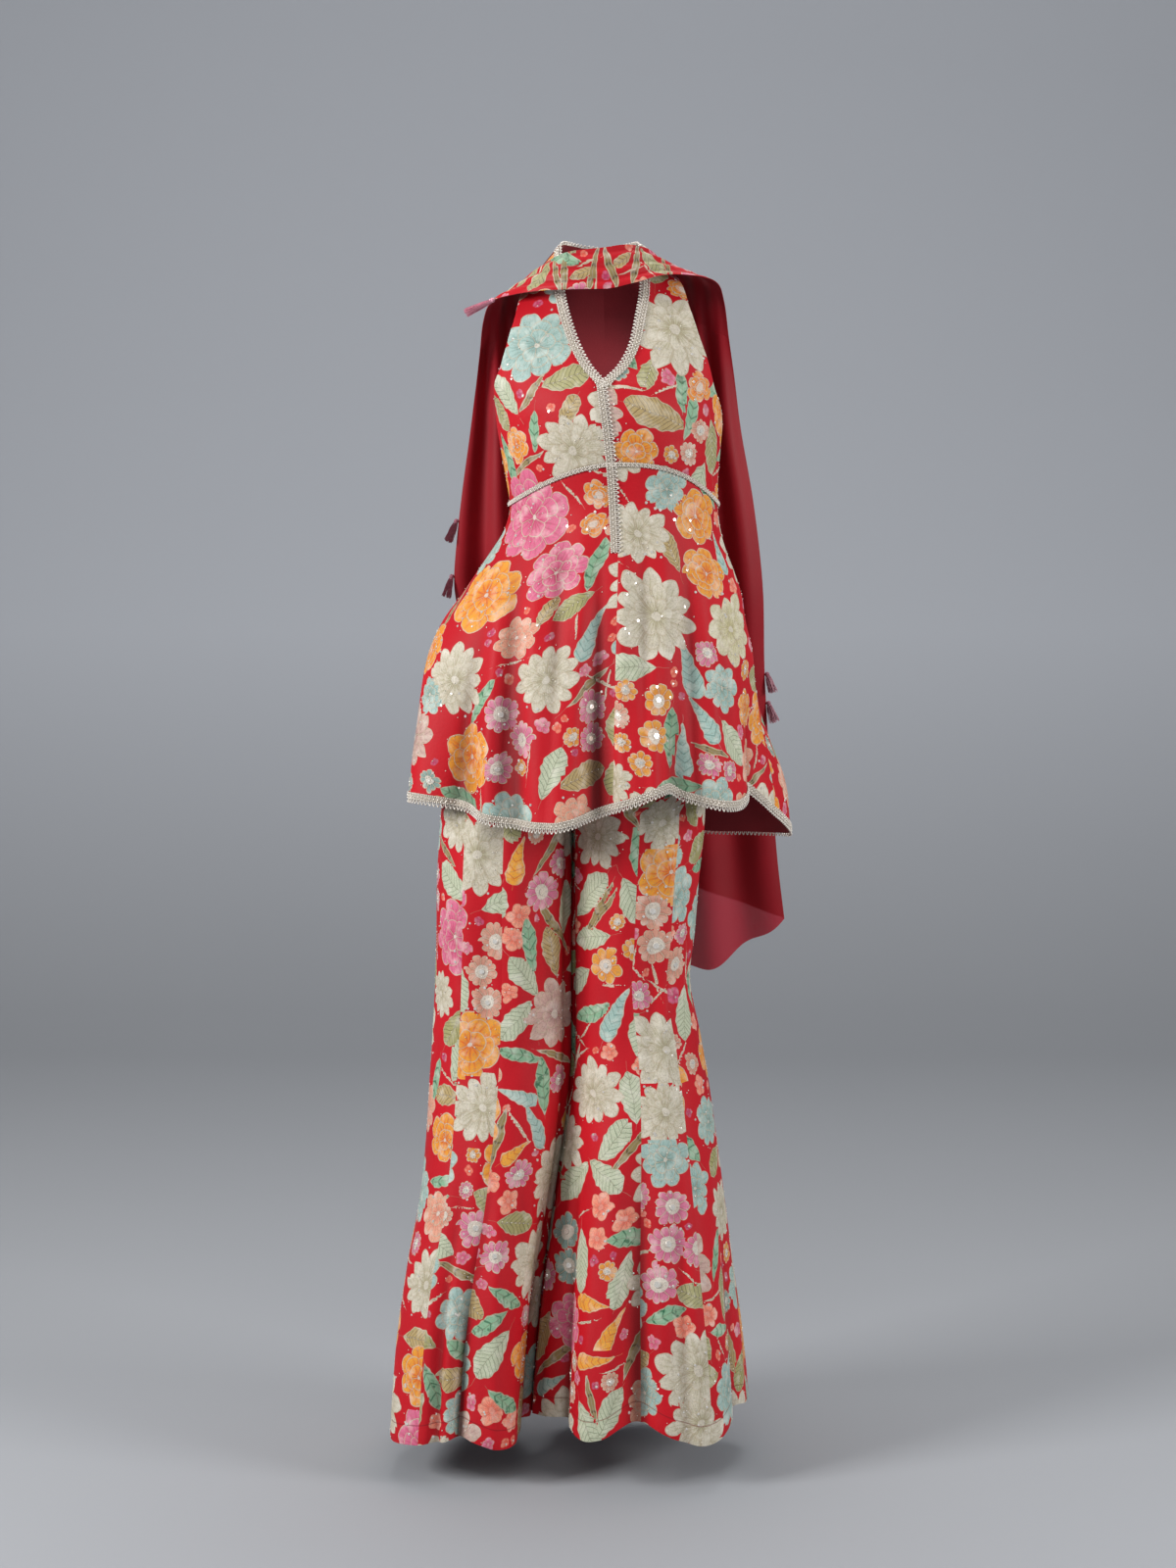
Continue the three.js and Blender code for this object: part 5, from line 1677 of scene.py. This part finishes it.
def picot_unit(name, half, picots):
    """One repeat of the lace: beads in rows across it, and a looped picot with a bead beyond its edge."""
    parts = []
    for y in (EDGE_BEAD_IN - half, half - EDGE_BEAD_IN):
        for x in (-PITCH / 4, PITCH / 4):
            parts.append(ball((x, y, LACE_OVER + EDGE_BEAD_UP), EDGE_BEAD))
    parts.append(ball((0, 0, LACE_OVER + MIDDLE_BEAD_UP), MIDDLE_BEAD))
    zigzag = [(x * PITCH / 2, y * half * ZIGZAG_SHARE, LACE_OVER) for x, y in ((-1, 1), (0, -1), (1, 1))]
    parts.append(tube(zigzag, [ZIGZAG_THREAD] * len(zigzag), THREAD_SIDES, UP))
    if picots:
        turns = np.linspace(0, math.pi, PICOT_STEPS)
        loop = [(PICOT_HALF * math.cos(t), half + PICOT_LONG * math.sin(t), PICOT_UP) for t in turns]
        parts.append(tube(loop, [PICOT_THREAD] * PICOT_STEPS, THREAD_SIDES, UP))
        parts.append(ball((0, half + PICOT_BEAD_AT, PICOT_UP), PICOT_BEAD))
    return join_parts(name, parts)


UNITS = {
    "wide": picot_unit("wide_lace_unit", WIDE_HALF, True),
    "narrow": picot_unit("narrow_lace_unit", NARROW_HALF, False),
}
ACROSS_LACE = np.linspace(0, 1, 5)
extras = {}


def make_lace(name, kind, lines, keeper):
    """A strip of lace from its lines, outer edge first, sewn to the piece that keeps it."""
    rows = []
    for share in ACROSS_LACE:
        at = share * (len(lines) - 1)
        low = min(int(at), len(lines) - 2)
        rows.append(mix(lines[low], lines[low + 1], at - low))
    rows = np.stack(rows)
    over = (LACE_OVER + DOME * np.sin(math.pi * ACROSS_LACE))[:, None, None]
    grid_points = with_margin(rows[:, 0] + rows[:, 1] * over)
    middle = len(ACROSS_LACE) // 2
    outside = rows[middle, 1, rows.shape[2] // 2]
    strip = Cloth(name + "_strip", grid_points, outside, thick=LACE, sink=LACE_SINK)
    obj = strip.build(LACE_SILVER, LACE_SILVER)
    centre, edge, out = resample(rows[middle, 0], (rows[0, 0], rows[middle, 1]), PITCH)
    sizes = np.ones(len(centre))
    beads = set_units(name + "_beads", UNITS[kind], centre, out, edge - centre, sizes, LACE_BEAD)
    for piece in (obj, beads):
        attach(piece, "root")
        extras.setdefault(keeper, []).append(piece)
    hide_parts(name)


NECK_PART, NAPE_PART = 0.6, 0.3  # how far down the bodice the neckline runs in front and behind
PLACKET_PART = 0.25  # how far down the skirt the placket runs
BELOW_SEAM = 0.05  # where the waist's lace begins on the skirt
for side_name in SIDES.values():
    front, back = f"bodice_front_{side_name}", f"bodice_back_{side_name}"
    skirt_front, skirt_back = f"skirt_front_{side_name}", f"skirt_back_{side_name}"
    neckline, nape = [(front, "centre", 0, NECK_PART, 60)], [(back, "centre", 0, NAPE_PART, 40)]
    make_lace(f"lace_neck_{side_name}", "wide", lines_in(neckline, WIDE_LINES), front)
    make_lace(f"lace_nape_{side_name}", "wide", lines_in(nape, WIDE_LINES), back)
    around = [(skirt_front, "hem", 0, 1, 160), (skirt_back, "hem", 1, 0, 160)]
    make_lace(f"lace_hem_{side_name}", "wide", lines_in(around, WIDE_LINES), skirt_front)
    above = [(front, "hem", 0, 1, 60), (back, "hem", 1, 0, 60)]
    below = [(skirt_front, "top", 0, 1, 60), (skirt_back, "top", 1, 0, 60)]
    waist_lines = lines_in(above, (NARROW_HALF,)) + lines_in(below, (BELOW_SEAM, NARROW_HALF))
    make_lace(f"lace_waist_{side_name}", "narrow", waist_lines, skirt_front)
placket = [
    ("bodice_front_right", "centre", NECK_PART, 1, 40),
    ("skirt_front_right", "centre", 0, PLACKET_PART, 30),
]
make_lace("lace_placket", "wide", lines_in(placket, WIDE_LINES), "bodice_front_right")


# Beads and sequins on the print

BEADED_LEAVES = ("tan_leaf", "khaki_leaf", "olive_leaf", "twig")
MIRROR_SHARE = 12  # the disc in the middle of a daisy, against the daisy's size
BEAD_EVERY = 110  # mm2 of a square as wide as the motif's radius, for each loose bead
BEAD_REACH = 1.2  # how far a bead may lie from the nearest point of the cloth, in its steps
LEAF_BEADS, LEAF_BEAD_SIZE = range(-3, 4), 0.9  # quarters of its half length where a leaf has beads
HEART_BEADS, HEART_REACH, HEART_BEAD_SIZE = 8, 0.3, 0.8  # the beads round a daisy's mirror
LOOSE_REACH, SEQUINS, LOOSE_SIZES = 0.92, 0.3, (0.7, 1.1)  # share of the radius, share of sequins, sizes


def flat_finder(cloth):
    """A search tree over a piece's flat pattern."""
    tree = KDTree((cloth.rows + 1) * (cloth.columns + 1))
    for k, (x, y, _) in enumerate(cloth.flat.reshape(-1, 3)):
        tree.insert((x, y, 0), k)
    tree.balance()
    return tree


def on_cloth(cloth, tree, x, y):
    """The point of the cloth at a place on its flat pattern, or None beyond its edges."""
    _, found, away = tree.find((x, y, 0))
    j, i = divmod(found, cloth.columns + 1)
    if away > CELL or not (0 < j < cloth.rows and 0 < i < cloth.columns):
        return None
    flat, points = cloth.flat, cloth.points
    across, down = flat[j, i + 1] - flat[j, i - 1], flat[j + 1, i] - flat[j - 1, i]
    a, b = np.linalg.solve(np.stack([across[:2], down[:2]], 1), np.array([x, y]) - flat[j, i, :2])
    if max(abs(a), abs(b)) > BEAD_REACH:
        return None
    at = points[j, i] + a * (points[j, i + 1] - points[j, i - 1]) + b * (points[j + 1, i] - points[j - 1, i])
    return at, cloth.normals[j, i]


def bead_places(motif, chance):
    """Where a motif carries beads: places on the flat pattern, each with its unit and size."""
    size = motif.form[0]
    if motif.layer == "leaf":
        if motif.kind in BEADED_LEAVES:
            c, s = math.cos(motif.angle), math.sin(motif.angle)
            for k in LEAF_BEADS:
                yield motif.x + c * size * k / 4, motif.y + s * size * k / 4, "bead", LEAF_BEAD_SIZE
        return
    if "daisy" in motif.kind:
        yield motif.x, motif.y, "sequin", size / MIRROR_SHARE
        for k in range(HEART_BEADS):
            away, turn = size * HEART_REACH, k * TURN / HEART_BEADS
            yield motif.x + away * math.cos(turn), motif.y + away * math.sin(turn), "bead", HEART_BEAD_SIZE
    for _ in range(int(size * size / BEAD_EVERY) + 1):
        away, turn = size * LOOSE_REACH * math.sqrt(chance.random()), chance.uniform(0, TURN)
        unit = "sequin" if chance.random() < SEQUINS else "bead"
        x, y = motif.x + away * math.cos(turn), motif.y + away * math.sin(turn)
        yield x, y, unit, chance.uniform(*LOOSE_SIZES)


bead_unit = join_parts("bead_unit", [ball((0, 0, 0.35), 0.95, 0.8)])
sequin_unit = join_parts("sequin_unit", [tube([(0, 0, -0.2), (0, 0, 0.7)], [2.0, 1.7], 7, (0, 1, 0))])
BEAD_UNITS = {"bead": (bead_unit, BEAD), "sequin": (sequin_unit, SEQUIN)}
GARMENTS = {"kurti": ("bodice", "skirt"), "sharara_right": ("right_leg",), "sharara_left": ("left_leg",)}


def bead_garment(garment, parts):
    """Scatters the beads of one garment and joins each kind of them into one piece."""
    chance = random.Random(garment)
    found = {unit: ([], [], [], []) for unit in BEAD_UNITS}
    names = [name for name in layouts if name.startswith(parts)]
    for name in names:
        cloth = cloths[name]
        tree = flat_finder(cloth)
        for motif in layouts[name]:
            for x, y, unit, size in bead_places(motif, chance):
                spot = on_cloth(cloth, tree, x, y)
                if spot is None:
                    continue
                aim = chance.uniform(-1, 1), chance.uniform(-1, 1), chance.uniform(-1, 1)
                for rows, value in zip(found[unit], (spot[0], spot[1], aim, size)):
                    rows.append(value)
    for unit, (points, out, aim, sizes) in found.items():
        shape, material = BEAD_UNITS[unit]
        piece = set_units(f"{garment}_{unit}s", shape, points, out, aim, sizes, material)
        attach(piece, "root")
        extras.setdefault(names[0], []).append(piece)


for garment, parts in GARMENTS.items():
    bead_garment(garment, parts)
for unit in (*UNITS.values(), bead_unit, sequin_unit):
    bpy.data.objects.remove(unit)


# Tassels

TASSELS = table(
    "station out down long",
    [8.2, 0.9, 0.42, 42],
    [2.45, 0.42, 1, 33],
    [1.2, 0.3, 1, 32],
    [23.1, 0.34, 1, 30],
    [23.55, 0.34, 1, 31],
)
TASSEL_NAMES = ["shoulder", "right_upper", "right_lower", "left_upper", "left_lower"]
TASSEL_KEEPERS = ["dupatta_neck"] + ["dupatta_fall_right"] * 2 + ["dupatta_fall_left"] * 2
KNOT_LONG, KNOT_ASIDE, KNOT_SIDES = 7, 2.8, 12
KNOT = table(
    "along radius",
    [0, 0.8],
    [0.8, 2.2],
    [2.6, 3.2],
    [4.2, 3.2],
    [5, 2.5],
    [5.8, 2.9],
    [KNOT_LONG, 2.8],
)
STRANDS, STRAND_STEPS = 52, 7
STRANDS_FROM, STRANDS_SPREAD = 1.2, 2.6  # above the knot's end, and how wide they stand there
STRAND_THICK = (0.6, 0.5)
UNEVEN = 3.5  # how much shorter some strands are
CURL_SIZES, WAVE_SIZE, WAVE_TURNS, SPREAD_POWER = (4.4, 7.6), 0.6, 5, 0.7


def make_tassel(name, keeper, station, out, down, long, material):
    """A tassel: a wrapped knot at the dupatta's edge and strands that hang from it."""
    chance = random.Random(name)
    side = math.copysign(1, station - FRONT_STATION)
    edge = dupatta_point(np.array([0.0]), station)[0]
    axis = np.array([side * out, 0, -down]) / math.hypot(out, down)
    across = np.array([0.0, 1.0, 0.0])
    other = np.cross(axis, across)
    top = edge + np.array([side * (0 if out > down else KNOT_ASIDE), 0, 0])
    knot = [top + axis * along for along in KNOT["along"]]
    parts = [tube(knot, KNOT["radius"], KNOT_SIDES, across)]
    for _ in range(STRANDS):
        turn, away = chance.uniform(0, TURN), math.sqrt(chance.random())
        spoke = across * math.cos(turn) + other * math.sin(turn)
        reach = long - chance.uniform(0, UNEVEN)
        wave, curl = chance.uniform(-WAVE_SIZE, WAVE_SIZE), chance.uniform(*CURL_SIZES)
        path = []
        for t in np.linspace(0, 1, STRAND_STEPS):
            spread = away * mix(STRANDS_SPREAD, curl, t**SPREAD_POWER) + wave * math.sin(t * WAVE_TURNS)
            path.append(top + axis * mix(KNOT_LONG - STRANDS_FROM, reach, t) + spoke * spread)
        parts.append(tube(path, np.linspace(*STRAND_THICK, STRAND_STEPS), THREAD_SIDES, across))
    obj = join_parts(f"tassel_{name}_silk", parts)
    obj.data.materials.append(material)
    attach(obj, "root")
    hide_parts(f"tassel_{name}")
    extras.setdefault(keeper, []).append(obj)


for k, name in enumerate(TASSEL_NAMES):
    sizes = {key: column[k] for key, column in TASSELS.items()}
    # The shoulder tassel in plain pink; the others in the same pink with painted shade
    make_tassel(name, TASSEL_KEEPERS[k], **sizes, material=TASSEL_PINK if name == "shoulder" else TASSEL_PINK_IN_SHADE)


# How each cloth piece is held, and its cut's width, length and area, worked out but not used further

HELD = {
    "bodice": "stretched",
    "skirt": "draped",
    "leg": "draped",
    "waistband": "stretched",
    "dupatta": "draped",
}
for name, cloth in cloths.items():
    held = next(word for part, word in HELD.items() if part in name)
    width, length, area = cloth.cut()
    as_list(extras.get(name, []))


# The floor and the light

FLOOR_Z = -1.539
FLOOR_HALF, FLOOR_NEAR, FLOOR_FAR, FLOOR_HIGH = 8.0, -8.0, 4.8, 5.0
FLOOR_BEND, BEND_STEPS = 2.0, 8  # the curve between floor and wall
WALL_LIT_FROM = 0.9  # height over the floor where the wall's painted light is at its palest
AIM, WALL_AIM = Vector((0, 0, -0.7)), Vector((0, FLOOR_FAR, 2.0))
# name, place, size, power, what it is aimed at
LAMPS = (
    ("left_light", (-2.7, -1.5, 0.6), 1.1, 105, AIM),
    ("right_light", (2.7, -1.3, 0.2), 1.1, 58, AIM),
    ("front_light", (-0.5, -3.6, 1.2), 1.6, 22, AIM),
    ("top_light", (0.2, 0.6, 2.0), 1.6, 40, AIM),
    ("wall_light", (0, 1.6, 2.6), 2.5, 12, WALL_AIM),
)
SKY, SKY_STRENGTH = colour("#D5D8DC"), 0.34


def floor_material():
    """Matt grey, with painted light that makes it paler up the wall."""
    paint = Paint("studio_floor")
    where = paint.object_point()
    height = paint.split(where)[2] - FLOOR_Z
    floor_tone = paint.blend(colour("#9FA1A5"), colour("#9A9CA0"), paint.noise(where, 0.8))
    # Painted light: the wall grows paler with height
    return paint.finish(paint.blend(floor_tone, colour("#C4C7CD"), (height / WALL_LIT_FROM).clamped()), 0.9)


def add_floor():
    """A pale floor that curves up into a far wall."""
    bend_y, bend_z = FLOOR_FAR - FLOOR_BEND, FLOOR_Z + FLOOR_BEND
    line = [(FLOOR_NEAR, FLOOR_Z), (bend_y, FLOOR_Z)]
    for step in range(1, BEND_STEPS + 1):
        turn = step / BEND_STEPS * math.pi / 2
        line.append((bend_y + FLOOR_BEND * math.sin(turn), bend_z - FLOOR_BEND * math.cos(turn)))
    line.append((FLOOR_FAR, FLOOR_HIGH))
    points = [(x / MM, y / MM, z / MM) for y, z in line for x in (-FLOOR_HALF, FLOOR_HALF)]
    cells = [(2 * k, 2 * k + 1, 2 * k + 3, 2 * k + 2) for k in range(len(line) - 1)]
    floor = mesh_object("studio_floor", points, cells)
    floor.data.materials.append(floor_material())


def add_light():
    """Soft lamps and a dim sky."""
    for name, at, size, power, aim in LAMPS:
        lamp = bpy.data.objects.new(name, bpy.data.lights.new(name, "AREA"))
        lamp.data.size = size
        lamp.data.energy = power
        lamp.location = at
        lamp.rotation_euler = (aim - Vector(at)).to_track_quat("-Z", "Y").to_euler()
        bpy.context.scene.collection.objects.link(lamp)
    world = bpy.data.worlds.new("studio")
    world.use_nodes = True
    background = world.node_tree.nodes["Background"]
    background.inputs[0].default_value = SKY
    background.inputs[1].default_value = SKY_STRENGTH
    bpy.context.scene.world = world


add_floor()
add_light()
